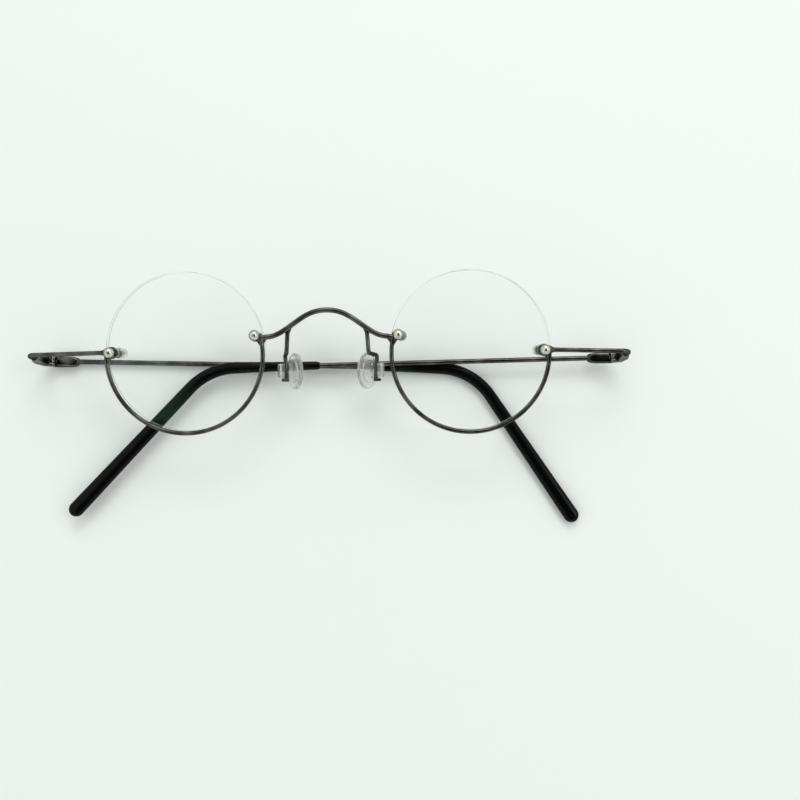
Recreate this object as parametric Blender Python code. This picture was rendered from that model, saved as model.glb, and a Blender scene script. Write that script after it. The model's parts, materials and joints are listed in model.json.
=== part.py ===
"""Half rim eyeglasses with a wire front and round lenses, folded and lying front up on a table.

The table is the plane Z = 0. +X runs from the left lens of the picture to the right one, +Y runs up the
lenses, and +Z is the way that the front faces. Left and right are those of someone who faces the front.
"""

import math

import bmesh
import bpy
from mathutils import Matrix, Quaternion, Vector

MM = 0.001
DEGREE = math.pi / 180.0
SIDES = {"left": -1.0, "right": 1.0}
X = Vector((1.0, 0.0, 0.0))
Y = Vector((0.0, 1.0, 0.0))
Z = Vector((0.0, 0.0, 1.0))

# Lenses: round, of even thickness, curved like a slice of a ball
LENS_DIAMETER = 38.4 * MM
LENS_THICKNESS = 1.8 * MM
LENS_CURVE = 115.0 * MM
LENS_SPACING = 68.4 * MM
LENS_RAISE = 0.8 * MM

# Rims: a wire along the lower half of each lens, in front of it, that ends in an eyelet at each side
RIM_WIRE = 1.0 * MM
RIM_INSET = 0.4 * MM
RIM_OVERRUN = 0.6 * MM
EYELET_DIAMETER = 2.9 * MM
EYELET_THICKNESS = 0.7 * MM

# Lens screws and what they clamp, from front to back
HOLE_INSET = 1.95 * MM
NASAL_HOLE_ANGLE = 12.2 * DEGREE
TEMPORAL_HOLE_ANGLE = -0.5 * DEGREE
SCREW_DIAMETER = 1.2 * MM
BALL_DIAMETER = 2.6 * MM
BALL_SEAT = 1.8 * MM
WASHER_DIAMETER = 2.5 * MM
WASHER_THICKNESS = 0.2 * MM
BUSHING_WALL = 0.3 * MM
NUT_WIDTH = 2.3 * MM
NUT_THICKNESS = 0.6 * MM
CAP_DIAMETER = 2.4 * MM
CAP_LENGTH = 2.6 * MM
CAP_BORE = 1.4 * MM
CAP_NOSE = 0.84 * MM

# Bridge and the arms that carry the nose pads. The right arm is bent out further, as fitted to a nose
BRIDGE_WIRE = 1.2 * MM
BRIDGE_JOINT_ANGLE = 12.0 * DEGREE
BRIDGE_RISE = 6.3 * MM
BRIDGE_STUB = 0.8 * MM
BRIDGE_FULLNESS = 1.15
PAD_WIRE = 1.0 * MM
PAD_ARM_SPACING = 19.0 * MM
PAD_BAR_REACH = {"left": 10.4 * MM, "right": 11.3 * MM}
PAD_BAR_DEPTH = 5.0 * MM
PAD_BAR_NECK = 0.8 * MM
PAD_ARM_DROP = 0.5
PAD_ARM_LIFT = 0.35
PAD_CENTRE_DROP = 4.1 * MM
PAD_NUB = 0.8 * MM

# Nose pads: clear ovals on a lug that turns on the bar
PAD_HEIGHT = 9.0 * MM
PAD_WIDTH = 6.6 * MM
PAD_THICKNESS = 1.2 * MM
PAD_SPLAY = 42.0 * DEGREE
PAD_STANDOFF = 1.45 * MM
PAD_FORWARD = 1.4 * MM
LUG_HEIGHT = 3.6 * MM
LUG_WALL = 0.55 * MM

# Endpieces: a wire from each rim to its hinge, bent back at the corner
ENDPIECE_WIRE = 1.05 * MM
ENDPIECE_FALL = 0.5 * MM
CORNER_RADIUS = 2.5 * MM
HINGE_DEPTH = 10.5 * MM

# Hinges: a fork on the front and a leaf on the temple, on a pin at their inner side
PIN_SPACING = 142.0 * MM
HINGE_WIDTH = 2.2 * MM
CHEEK = 0.75 * MM
KNUCKLE = 0.9 * MM
KNUCKLE_DIAMETER = 2.2 * MM
PIN_DIAMETER = 0.9 * MM
PIN_HEAD_DIAMETER = 1.6 * MM
PIN_HEAD = 0.35 * MM
FORK_LENGTH = 7.0 * MM
LEAF_LENGTH = 6.5 * MM
SOCKET_DEPTH = 2.0 * MM
SOCKET_WALL = 0.27 * MM
HINGE_CHAMFER = 0.3 * MM
HINGE_TAPER_AT = 0.55

# Temples: a wire in a plastic tip, each bent at its own place by the optician
TEMPLE_WIRE = 1.25 * MM
TEMPLE_DROOP = 1.3 * DEGREE
TEMPLE_BEND_RADIUS = 16.0 * MM
TEMPLE_BEND_AT = {"left": 106.5 * MM, "right": 101.9 * MM}
TEMPLE_DROP_ANGLE = {"left": 55.3 * DEGREE, "right": 46.0 * DEGREE}
TEMPLE_DROP_LENGTH = {"left": 46.2 * MM, "right": 49.4 * MM}
TIP_BEFORE_BEND = {"left": 24.7 * MM, "right": 28.0 * MM}
TIP_THICKNESS = 2.2 * MM
TIP_START_WIDTH = 2.1 * MM
TIP_BEND_WIDTH = 3.0 * MM
TIP_END_WIDTH = 3.8 * MM
TIP_WIRE_END = 6.0 * MM
TIP_MOUTH_TAPER = 0.8
TIP_ROUNDED_TO = 80.0 * DEGREE
FRONT_TILT = 8.0 * DEGREE

# Clearances
CONTACT = 0.05 * MM
RADIAL_PLAY = 0.1 * MM
SOLDER_GAP = 0.1 * MM
HINGE_PLAY = 0.1 * MM
TEMPLE_GAP = 0.3 * MM
OVERCUT = 1.0 * MM

# How finely round shapes are drawn
WIRE_SIDES = 8
SMALL_SIDES = 12
LENS_SIDES = 48
LENS_RINGS = 4
RIM_STEPS = 40
BRIDGE_STEPS = 24
BEND_STEPS = 8
CORNER_STEPS = 5
OVAL_SIDES = 24
BALL_STEPS = 6
CAP_STEPS = 3
PAD_ARM_STEPS = 10
TIP_END_STEPS = 4
SHARP_ANGLE = 50.0 * DEGREE
MERGE_DISTANCE = 0.001 * MM

LENS_RADIUS = LENS_DIAMETER / 2
RIM_RADIUS = LENS_RADIUS - RIM_INSET
HOLE_RADIUS = SCREW_DIAMETER / 2 + RADIAL_PLAY
BUSHING_RADIUS = HOLE_RADIUS + BUSHING_WALL
HINGE_HEIGHT = 2 * CHEEK + 2 * HINGE_PLAY + KNUCKLE
HINGE_OFFSET = HINGE_WIDTH / 2
TEMPLE_STEP = TIP_THICKNESS / 2 + TEMPLE_WIRE / 2 + TEMPLE_GAP

# Heights of the two folded temples above the table: the left one lies on it, the right one on top
TEMPLE_HEIGHT = {
    "left": max(TIP_THICKNESS, HINGE_WIDTH) / 2,
    "right": max(TIP_THICKNESS, HINGE_WIDTH) / 2 + TEMPLE_STEP,
}
FRONT_ROLL = -math.asin(TEMPLE_STEP / PIN_SPACING)

# What each material looks like: colour, roughness, metallic and alpha
FINISHES = {
    "gunmetal": ((0.16, 0.16, 0.155), 0.25, 1.0, 1.0),
    "silver": ((0.72, 0.72, 0.70), 0.15, 1.0, 1.0),
    "lens": ((0.93, 0.95, 0.94), 0.03, 0.0, 0.12),
    "clear_plastic": ((0.90, 0.92, 0.91), 0.15, 0.0, 0.35),
    "black_plastic": ((0.008, 0.008, 0.009), 0.12, 0.0, 1.0),
}


def clear_scene():
    for old in list(bpy.data.objects):
        bpy.data.objects.remove(old, do_unlink=True)


def finish(name, kind):
    colour, roughness, metallic, alpha = FINISHES[kind]
    material = bpy.data.materials.new(name + "_" + kind)
    material.use_nodes = True
    shader = material.node_tree.nodes["Principled BSDF"]
    shader.inputs["Base Color"].default_value = (*colour, 1.0)
    shader.inputs["Roughness"].default_value = roughness
    shader.inputs["Metallic"].default_value = metallic
    shader.inputs["Alpha"].default_value = alpha
    return material


def mesh_from(bm, name, kind=None):
    """The finished mesh of a shape, with its faces pointing out and its round sides smooth."""
    bmesh.ops.recalc_face_normals(bm, faces=bm.faces)
    mesh = bpy.data.meshes.new(name)
    bm.to_mesh(mesh)
    bm.free()
    mesh.shade_smooth()
    mesh.set_sharp_from_angle(angle=SHARP_ANGLE)
    if kind:
        mesh.materials.append(finish(name, kind))
    return mesh


def place(name, mesh, parent, matrix=None):
    """An object of a mesh, carried by its parent."""
    piece = bpy.data.objects.new(name, mesh)
    bpy.context.collection.objects.link(piece)
    piece.parent = parent
    if matrix:
        piece.matrix_local = matrix
    return piece


def place_empty(name, parent, matrix):
    return place(name, None, parent, matrix)


def combine(piece, shapes, operation):
    """Adds each shape to the piece, or cuts it out, with the shape kept as a hidden helper."""
    for index, shape in enumerate(shapes):
        helper_name = piece.name + "_" + operation.lower() + "_" + str(index)
        helper = place(helper_name, mesh_from(shape, helper_name), piece)
        helper.display_type = "WIRE"
        helper.hide_render = True
        modifier = piece.modifiers.new(helper_name, "BOOLEAN")
        modifier.operation = operation
        modifier.object = helper
        modifier.solver = "EXACT"


def tangents(points):
    steps = [(b - a).normalized() for a, b in zip(points, points[1:])]
    inner = [(a + b).normalized() for a, b in zip(steps, steps[1:])]
    return [steps[0], *inner, steps[-1]]


def swept(points, outlines, up):
    """A solid along a path. Each outline is a closed list of (across, up) pairs for one of its points."""
    bm = bmesh.new()
    rings = []
    for point, tangent, outline in zip(points, tangents(points), outlines):
        up = (up - up.dot(tangent) * tangent).normalized()
        across = tangent.cross(up)
        rings.append([bm.verts.new(point + a * across + b * up) for a, b in outline])
    for near, far in zip(rings, rings[1:]):
        for i in range(len(near)):
            j = (i + 1) % len(near)
            bm.faces.new((near[i], near[j], far[j], far[i]))
    bm.faces.new(rings[0])
    bm.faces.new(rings[-1])
    return bm


def circle(radius, sides):
    """A closed outline whose flats face up, down and to both sides."""
    turns = [2 * math.pi * (i + 0.5) / sides for i in range(sides)]
    return [(radius * math.cos(t), radius * math.sin(t)) for t in turns]


def wire(points, diameter, up):
    outline = circle(diameter / 2, WIRE_SIDES)
    return swept(points, [outline] * len(points), up)


def turned(profile, sides):
    """A round solid about Z, from (radius, height) pairs that start and end on the axis or form a ring."""
    bm = bmesh.new()
    verts = [bm.verts.new((radius, 0.0, height)) for radius, height in profile]
    edges = [bm.edges.new(pair) for pair in zip(verts, verts[1:])]
    is_ring = profile[0][0] > 0
    if is_ring:
        edges.append(bm.edges.new((verts[-1], verts[0])))
    bmesh.ops.spin(
        bm, geom=verts + edges, cent=(0, 0, 0), axis=Z, angle=2 * math.pi, steps=sides, use_merge=True
    )
    bmesh.ops.remove_doubles(bm, verts=bm.verts, dist=MERGE_DISTANCE)
    return bm


def ring_profile(inner, outer, low, high):
    return [(inner, low), (outer, low), (outer, high), (inner, high)]


def rod(radius, low, high, matrix, sides=SMALL_SIDES):
    """A round bar along the matrix's Z axis."""
    bm = bmesh.new()
    middle = matrix @ Matrix.Translation(Z * (low + high) / 2)
    bmesh.ops.create_cone(
        bm, cap_ends=True, segments=sides, radius1=radius, radius2=radius, depth=high - low, matrix=middle
    )
    return bm


def filleted(before, corner, after, radius, steps):
    """The arc that rounds a path's corner, as points."""
    arriving = (corner - before).normalized()
    leaving = (after - corner).normalized()
    turn = arriving.angle(leaving)
    start = corner - arriving * radius * math.tan(turn / 2)
    axis = arriving.cross(leaving).normalized()
    centre = start + axis.cross(arriving) * radius
    turns = [Quaternion(axis, turn * i / steps) for i in range(steps + 1)]
    return [centre + rotation @ (start - centre) for rotation in turns]


def rounded_box(width, height, chamfer):
    """A closed outline: a rectangle with its corners cut off."""
    a, b = width / 2, height / 2
    corners = [(a, b - chamfer), (a - chamfer, b), (chamfer - a, b), (-a, b - chamfer)]
    return corners + [(-x, -y) for x, y in corners]


# The front's own frame: its origin lies midway between the rims, in the plane of the rim wires


def rim_centre(side):
    return X * SIDES[side] * LENS_SPACING / 2


def sag(radius):
    """How far the lens surface falls back at a radius from its middle."""
    return LENS_CURVE - math.sqrt(LENS_CURVE**2 - radius**2)


def lens_apex(side):
    """The front of the lens at its middle: at the rim wire, the lens lies just behind the wire."""
    behind_wire = RIM_WIRE / 2 + SOLDER_GAP
    return rim_centre(side) + Y * LENS_RAISE + Z * (sag(RIM_RADIUS) - behind_wire)


def hole_frame(side, end):
    """A frame on the lens's front surface at a screw hole, with Z along the screw to the front."""
    outward = SIDES[side] if end == "temporal" else -SIDES[side]
    angle = TEMPORAL_HOLE_ANGLE if end == "temporal" else NASAL_HOLE_ANGLE
    along = Vector((outward * math.cos(angle), math.sin(angle), 0.0))
    lean = math.asin((LENS_RADIUS - HOLE_INSET) / LENS_CURVE)
    normal = along * math.sin(lean) + Z * math.cos(lean)
    point = lens_apex(side) - Z * LENS_CURVE + normal * LENS_CURVE
    return Matrix.Translation(point) @ normal.to_track_quat("Z", "Y").to_matrix().to_4x4()


def rim_angle(side, end):
    """The angle, about the rim's centre from the temporal side, at which the wire reaches an eyelet."""
    point = hole_frame(side, end).translation - rim_centre(side)
    return math.atan2(point.y, point.x * SIDES[side])


def on_rim(side, angle, radius):
    return rim_centre(side) + radius * Vector((SIDES[side] * math.cos(angle), math.sin(angle), 0.0))


EYELET_BACK = CONTACT + WASHER_THICKNESS + CONTACT
EYELET_FRONT = EYELET_BACK + EYELET_THICKNESS
REAR_WASHER_FRONT = -LENS_THICKNESS - CONTACT
NUT_FRONT = REAR_WASHER_FRONT - WASHER_THICKNESS - CONTACT
CAP_FRONT = NUT_FRONT - NUT_THICKNESS - CONTACT
SCREW_END = CAP_FRONT - CAP_BORE + CONTACT


def screw_profile():
    """A ball head with a flat seat on a plain shank."""
    seat = EYELET_FRONT + CONTACT
    radius = BALL_DIAMETER / 2
    flat = math.asin(BALL_SEAT / BALL_DIAMETER)
    centre = seat + radius * math.cos(flat)
    turns = [flat + (math.pi - flat) * i / BALL_STEPS for i in range(BALL_STEPS)]
    ball = [(radius * math.sin(t), centre - radius * math.cos(t)) for t in turns]
    shank = SCREW_DIAMETER / 2
    return [(0.0, SCREW_END), (shank, SCREW_END), (shank, seat), *ball, (0.0, centre + radius)]


def cap_profile():
    """A bullet-shaped cap with a blind bore for the screw's end."""
    outer = CAP_DIAMETER / 2
    shoulder = CAP_FRONT - CAP_LENGTH + CAP_NOSE
    turns = [math.pi / 2 * i / CAP_STEPS for i in range(CAP_STEPS)]
    nose = [(outer * math.cos(t), shoulder - CAP_NOSE * math.sin(t)) for t in turns]
    bore_end = CAP_FRONT - CAP_BORE
    bore = [(0.0, bore_end), (HOLE_RADIUS, bore_end), (HOLE_RADIUS, CAP_FRONT)]
    return [*bore, (outer, CAP_FRONT), *nose, (0.0, CAP_FRONT - CAP_LENGTH)]


def nut_shape():
    """A hexagonal nut with a round hole: its rim alternates between corners and middles of its flats."""
    sides = 12
    bm = turned(ring_profile(HOLE_RADIUS, NUT_WIDTH, NUT_FRONT - NUT_THICKNESS, NUT_FRONT), sides)
    for vert in bm.verts:
        reach = vert.co.xy.length
        if reach < (HOLE_RADIUS + NUT_WIDTH) / 2:
            continue
        step = round(math.atan2(vert.co.y, vert.co.x) / (2 * math.pi / sides))
        wanted = NUT_WIDTH / 2 if step % 2 else NUT_WIDTH / 2 / math.cos(math.pi / 6)
        vert.co.xy = vert.co.xy * wanted / reach
    return bm


def make_fasteners(front):
    """At each of the four lens holes: screw, front washer, bushing, rear washer, nut and cap."""
    wide = WASHER_DIAMETER / 2
    rear = REAR_WASHER_FRONT - WASHER_THICKNESS
    front_washer = ring_profile(HOLE_RADIUS, wide, CONTACT, CONTACT + WASHER_THICKNESS)
    bushing = ring_profile(HOLE_RADIUS, BUSHING_RADIUS, CONTACT - LENS_THICKNESS, -CONTACT)
    rear_washer = ring_profile(HOLE_RADIUS, wide, rear, REAR_WASHER_FRONT)
    shapes = {
        "screw": (turned(screw_profile(), SMALL_SIDES), "silver"),
        "front_washer": (turned(front_washer, SMALL_SIDES), "clear_plastic"),
        "bushing": (turned(bushing, SMALL_SIDES), "clear_plastic"),
        "rear_washer": (turned(rear_washer, SMALL_SIDES), "silver"),
        "nut": (nut_shape(), "silver"),
        "cap": (turned(cap_profile(), SMALL_SIDES), "clear_plastic"),
    }
    for kind, (shape, look) in shapes.items():
        mesh = mesh_from(shape, kind, look)
        for side in SIDES:
            for end in ("nasal", "temporal"):
                place("_".join((side, end, kind)), mesh, front, hole_frame(side, end))


def make_lens(side, front):
    radii = [LENS_RADIUS * i / LENS_RINGS for i in range(LENS_RINGS + 1)]
    rear_curve = LENS_CURVE - LENS_THICKNESS
    face = [(r, -sag(r)) for r in radii]
    back = [(r, math.sqrt(rear_curve**2 - r**2) - LENS_CURVE) for r in reversed(radii)]
    name = side + "_lens"
    apex = Matrix.Translation(lens_apex(side))
    lens = place(name, mesh_from(turned(face + back, LENS_SIDES), name, "lens"), front, apex)
    reach = LENS_THICKNESS + OVERCUT
    holes = [apex.inverted() @ hole_frame(side, end) for end in ("nasal", "temporal")]
    bore = BUSHING_RADIUS + RADIAL_PLAY
    combine(lens, [rod(bore, -reach, OVERCUT, hole) for hole in holes], "DIFFERENCE")


def make_rim(side, front):
    overrun = RIM_OVERRUN / RIM_RADIUS
    first = rim_angle(side, "temporal") + overrun
    last = rim_angle(side, "nasal") - 2 * math.pi - overrun
    angles = [first + (last - first) * i / RIM_STEPS for i in range(RIM_STEPS + 1)]
    points = [on_rim(side, angle, RIM_RADIUS) for angle in angles]
    name = side + "_rim"
    rim = place(name, mesh_from(wire(points, RIM_WIRE, Z), name, "gunmetal"), front)
    frames = [hole_frame(side, end) for end in ("nasal", "temporal")]
    washer_room = WASHER_DIAMETER / 2 + RADIAL_PLAY
    eyelets = [rod(EYELET_DIAMETER / 2, EYELET_BACK, EYELET_FRONT, f, OVAL_SIDES) for f in frames]
    recesses = [rod(washer_room, -OVERCUT, EYELET_BACK, f) for f in frames]
    bores = [rod(HOLE_RADIUS, -OVERCUT, EYELET_FRONT + OVERCUT, f) for f in frames]
    combine(rim, eyelets, "UNION")
    combine(rim, recesses + bores, "DIFFERENCE")


def bridge_path():
    """From one rim to the other: short stubs square to the rims, and between them a bell-shaped arch."""
    angle = math.pi - BRIDGE_JOINT_ANGLE
    seat = RIM_RADIUS + RIM_WIRE / 2 + SOLDER_GAP
    ends = [on_rim(side, angle, seat) for side in SIDES]
    feet = [on_rim(side, angle, seat + BRIDGE_STUB) for side in SIDES]
    half = feet[1].x
    arch = []
    for i in range(BRIDGE_STEPS + 1):
        share = 2 * i / BRIDGE_STEPS - 1
        lift = (1 + math.cos(math.pi * abs(share) ** BRIDGE_FULLNESS)) / 2
        arch.append(Vector((half * share, feet[1].y + BRIDGE_RISE * lift, 0.0)))
    return [ends[0], *arch, ends[1]]


def make_bridge(front):
    place("bridge", mesh_from(wire(bridge_path(), BRIDGE_WIRE, Z), "bridge", "gunmetal"), front)


def pad_axis(side):
    """The middle of the bar that the nose pad turns on."""
    return Vector((SIDES[side] * PAD_BAR_REACH[side], -PAD_CENTRE_DROP, -PAD_BAR_DEPTH))


def make_pad_arm(side, front):
    """A wire from the back of the bridge, down and back to the upright bar with a nub at its foot."""
    reach = SIDES[side] * PAD_ARM_SPACING / 2
    root = min(bridge_path(), key=lambda point: abs(point.x - reach))
    start = root - Z * (BRIDGE_WIRE / 2 + PAD_WIRE / 2 + SOLDER_GAP)
    top = pad_axis(side) + Y * (LUG_HEIGHT / 2 + PAD_BAR_NECK)
    foot = pad_axis(side) - Y * (LUG_HEIGHT / 2 + CONTACT + PAD_NUB)
    fall = start.y - top.y
    first = start - Y * fall * PAD_ARM_DROP
    second = top + Y * fall * PAD_ARM_LIFT - X * SIDES[side] * PAD_WIRE / 2
    curve = []
    for i in range(PAD_ARM_STEPS + 1):
        t = i / PAD_ARM_STEPS
        pull = 3 * (1 - t) ** 2 * t * first + 3 * (1 - t) * t**2 * second
        curve.append((1 - t) ** 3 * start + pull + t**3 * top)
    name = side + "_pad_arm"
    shape = wire([start + Y * PAD_WIRE / 2, *curve, foot], PAD_WIRE, Z)
    arm = place(name, mesh_from(shape, name, "gunmetal"), front)
    nub_at = foot + Y * PAD_NUB / 2
    outward = X * SIDES[side]
    nub = wire([nub_at, nub_at + outward * (PAD_WIRE / 2 + PAD_NUB / 2)], PAD_NUB, Z)
    combine(arm, [nub], "UNION")


def make_nose_pad(side, front):
    """An oval plate on a lug that wraps the bar. The plate faces the nose, splayed to the back."""
    axis = place_empty(side + "_pad_axis", front, Matrix.Translation(pad_axis(side)))
    nose = -SIDES[side]
    facing = Vector((nose * math.cos(PAD_SPLAY), 0.0, -math.sin(PAD_SPLAY)))
    forward = Vector((nose * math.sin(PAD_SPLAY), 0.0, math.cos(PAD_SPLAY)))
    centre = facing * PAD_STANDOFF + forward * PAD_FORWARD
    bevel = PAD_THICKNESS / 4
    layers = [(-2 * bevel, bevel), (-bevel, 0.0), (bevel, 0.0), (2 * bevel, bevel)]
    turns = [2 * math.pi * i / OVAL_SIDES for i in range(OVAL_SIDES)]
    points = []
    outlines = []
    for depth, inset in layers:
        points.append(centre + facing * depth)
        wide, high = PAD_WIDTH / 2 - inset, PAD_HEIGHT / 2 - inset
        outlines.append([(wide * math.cos(t), high * math.sin(t)) for t in turns])
    name = side + "_nose_pad"
    pad = place(name, mesh_from(swept(points, outlines, Y), name, "clear_plastic"), axis)
    bore = PAD_WIRE / 2 + RADIAL_PLAY
    lug_width = 2 * (bore + LUG_WALL)
    outline = rounded_box(lug_width, LUG_HEIGHT, LUG_WALL / 2)
    lug = swept([-facing * lug_width / 2, facing * PAD_STANDOFF], [outline] * 2, Y)
    upright = Matrix.Rotation(-math.pi / 2, 4, "X")
    combine(pad, [lug], "UNION")
    combine(pad, [rod(bore, -PAD_HEIGHT, PAD_HEIGHT, upright)], "DIFFERENCE")


# The hinges: each half is made in a frame at the pin, with the pin along Y


def corner_point(side):
    """Where the endpiece's two legs meet."""
    start = on_rim(side, rim_angle(side, "temporal"), RIM_RADIUS)
    reach = SIDES[side] * (PIN_SPACING / 2 + HINGE_OFFSET)
    return Vector((reach, start.y - ENDPIECE_FALL, 0.0))


def pin_point(side):
    """The pin lies straight behind the corner, square to the folded temples, and nearer the middle."""
    back = Vector((0.0, -math.sin(FRONT_TILT), -math.cos(FRONT_TILT)))
    return corner_point(side) + back * HINGE_DEPTH - X * SIDES[side] * HINGE_OFFSET


def make_endpiece(side, front):
    angle = rim_angle(side, "temporal")
    seat = RIM_RADIUS + RIM_WIRE / 2 + SOLDER_GAP
    start = on_rim(side, angle, seat)
    corner = corner_point(side)
    back = Vector((0.0, -math.sin(FRONT_TILT), -math.cos(FRONT_TILT)))
    end = corner + back * (HINGE_DEPTH - FORK_LENGTH + SOCKET_DEPTH - CONTACT)
    bend = filleted(start, corner, end, CORNER_RADIUS, CORNER_STEPS)
    name = side + "_endpiece"
    shape = wire([start, *bend, end], ENDPIECE_WIRE, Y)
    place(name, mesh_from(shape, name, "gunmetal"), front)


def hinge_half(name, parent, outward, along, length, wire_diameter, gaps):
    """A tapered block that starts beside the pin, with a round knuckle on the pin.

    Each span of gaps is cut out around the pin, as room for its mate's knuckles.
    """
    mouth = wire_diameter + 2 * RADIAL_PLAY + 2 * SOCKET_WALL
    middle = outward * HINGE_OFFSET
    points = [middle + along * reach for reach in (HINGE_PLAY, length * HINGE_TAPER_AT, length)]
    body = rounded_box(HINGE_WIDTH, HINGE_HEIGHT, HINGE_CHAMFER)
    outlines = [body, body, rounded_box(mouth, mouth, HINGE_CHAMFER)]
    block = place(name, mesh_from(swept(points, outlines, Y), name, "gunmetal"), parent)
    upright = Matrix.Rotation(-math.pi / 2, 4, "X")
    round_part = KNUCKLE_DIAMETER / 2
    room = round_part + HINGE_PLAY
    knuckle_end = HINGE_HEIGHT / 2 - CONTACT
    combine(block, [rod(round_part, -knuckle_end, knuckle_end, upright, OVAL_SIDES)], "UNION")
    cuts = [rod(room, low, high, upright, OVAL_SIDES) for low, high in gaps]
    bore = PIN_DIAMETER / 2 + RADIAL_PLAY
    cuts.append(rod(bore, -HINGE_HEIGHT, HINGE_HEIGHT, upright))
    combine(block, cuts, "DIFFERENCE")
    return block


def make_hinge(side, front, temple):
    """The front's fork, the temple's leaf and the screw that is their pin."""
    frame = Matrix.Translation(pin_point(side)) @ Matrix.Rotation(-FRONT_TILT, 4, "X")
    pin = place_empty(side + "_pin", front, frame)
    outward = X * SIDES[side]
    inner = KNUCKLE / 2
    slot = inner + HINGE_PLAY
    outer = HINGE_HEIGHT / 2
    past = outer + OVERCUT
    fork_name = side + "_hinge_fork"
    fork = hinge_half(fork_name, pin, outward, Z, FORK_LENGTH, ENDPIECE_WIRE, [(-slot, slot)])
    fork_end = outward * HINGE_OFFSET + Z * (FORK_LENGTH - SOCKET_DEPTH)
    fork_socket = wire([fork_end, fork_end + Z * 2 * SOCKET_DEPTH], ENDPIECE_WIRE + 2 * RADIAL_PLAY, Y)
    combine(fork, [fork_socket], "DIFFERENCE")
    cheeks = [(-past, -inner), (inner, past)]
    leaf = hinge_half(side + "_hinge_leaf", temple, -Z, -outward, LEAF_LENGTH, TEMPLE_WIRE, cheeks)
    start, toward = temple_line(side)
    cut_from = start - toward * CONTACT
    socket = wire([cut_from, cut_from + toward * 2 * SOCKET_DEPTH], TEMPLE_WIRE + 2 * RADIAL_PLAY, Z)
    combine(leaf, [socket], "DIFFERENCE")
    shank = PIN_DIAMETER / 2
    head = PIN_HEAD_DIAMETER / 2
    seat = outer + CONTACT
    profile = [(0.0, -outer), (shank, -outer), (shank, seat), (head, seat), (head, seat + PIN_HEAD)]
    profile.append((0.0, seat + PIN_HEAD))
    name = side + "_hinge_screw"
    upright = Matrix.Rotation(-math.pi / 2, 4, "X")
    place(name, mesh_from(turned(profile, SMALL_SIDES), name, "silver"), pin, upright)


# The temples: made in a frame at the pin that is square to the table, folded


def temple_line(side):
    """Where the temple's wire starts in its leaf, and the way that its straight part runs."""
    inward = -X * SIDES[side]
    toward = inward * math.cos(TEMPLE_DROOP) - Y * math.sin(TEMPLE_DROOP)
    mouth = inward * LEAF_LENGTH - Z * HINGE_OFFSET
    return mouth - toward * (SOCKET_DEPTH - CONTACT), toward


def temple_corner(side):
    """The corner of the temple's bend, and the way that the wire drops after it."""
    start, toward = temple_line(side)
    run = TEMPLE_BEND_AT[side] - LEAF_LENGTH + SOCKET_DEPTH
    turn = TEMPLE_DROP_ANGLE[side] + TEMPLE_DROOP
    drop = -X * SIDES[side] * math.cos(turn) - Y * math.sin(turn)
    return start + toward * run, drop


def temple_bend(side):
    corner, drop = temple_corner(side)
    start = temple_line(side)[0]
    return filleted(start, corner, corner + drop, TEMPLE_BEND_RADIUS, BEND_STEPS)


def make_temple_wire(side, temple):
    start = temple_line(side)[0]
    corner, drop = temple_corner(side)
    end = corner + drop * (TEMPLE_DROP_LENGTH[side] - TIP_WIRE_END)
    name = side + "_temple_wire"
    shape = wire([start, *temple_bend(side), end], TEMPLE_WIRE, Z)
    place(name, mesh_from(shape, name, "gunmetal"), temple)


def tip_outline(width, thickness):
    """A closed outline with flat faces above and below and round sides."""
    a, b = width / 2, thickness / 2
    right = [(a, 0.4 * b), (0.84 * a, 0.82 * b), (0.54 * a, b)]
    half = right + [(-x, y) for x, y in reversed(right)]
    return half + [(-x, -y) for x, y in half]


def make_tip(side, temple):
    """The plastic sleeve: it widens from its mouth to its round end, and holds the wire in a bore."""
    toward = temple_line(side)[1]
    corner, drop = temple_corner(side)
    mouth = corner - toward * TIP_BEFORE_BEND[side]
    bend = temple_bend(side)
    end_radius = TIP_END_WIDTH / 2
    length = TEMPLE_DROP_LENGTH[side]
    halfway = corner + drop * (length + (bend[-1] - corner).length) / 2
    points = [mouth, mouth + toward * TIP_THICKNESS / 2, *bend, halfway]
    widths = [TIP_START_WIDTH * TIP_MOUTH_TAPER, TIP_START_WIDTH]
    widths += [TIP_BEND_WIDTH] * len(bend)
    widths.append((TIP_BEND_WIDTH + TIP_END_WIDTH) / 2)
    thicknesses = [TIP_THICKNESS * TIP_MOUTH_TAPER] + [TIP_THICKNESS] * (len(bend) + 2)
    for i in range(TIP_END_STEPS + 1):
        turn = TIP_ROUNDED_TO * i / TIP_END_STEPS
        points.append(corner + drop * (length - end_radius + end_radius * math.sin(turn)))
        widths.append(TIP_END_WIDTH * math.cos(turn))
        thicknesses.append(TIP_THICKNESS * math.cos(turn) ** 0.5)
    outlines = [tip_outline(w, t) for w, t in zip(widths, thicknesses)]
    name = side + "_temple_tip"
    tip = place(name, mesh_from(swept(points, outlines, Z), name, "black_plastic"), temple)
    bore_end = corner + drop * (length - TIP_WIRE_END + CONTACT)
    bore = wire([mouth - toward * OVERCUT, *bend, bore_end], TEMPLE_WIRE + 2 * RADIAL_PLAY, Z)
    combine(tip, [bore], "DIFFERENCE")


def lowest_and_middle():
    """The shift that brings the middle of the model's underside to the origin."""
    bpy.context.view_layer.update()
    graph = bpy.context.evaluated_depsgraph_get()
    corners = []
    for piece in bpy.data.objects:
        if piece.type != "MESH" or piece.hide_render:
            continue
        seen = piece.evaluated_get(graph)
        corners += [seen.matrix_world @ vert.co for vert in seen.data.vertices]
    low = Vector([min(point[axis] for point in corners) for axis in range(3)])
    high = Vector([max(point[axis] for point in corners) for axis in range(3)])
    return -Vector(((low.x + high.x) / 2, (low.y + high.y) / 2, low.z))


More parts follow.
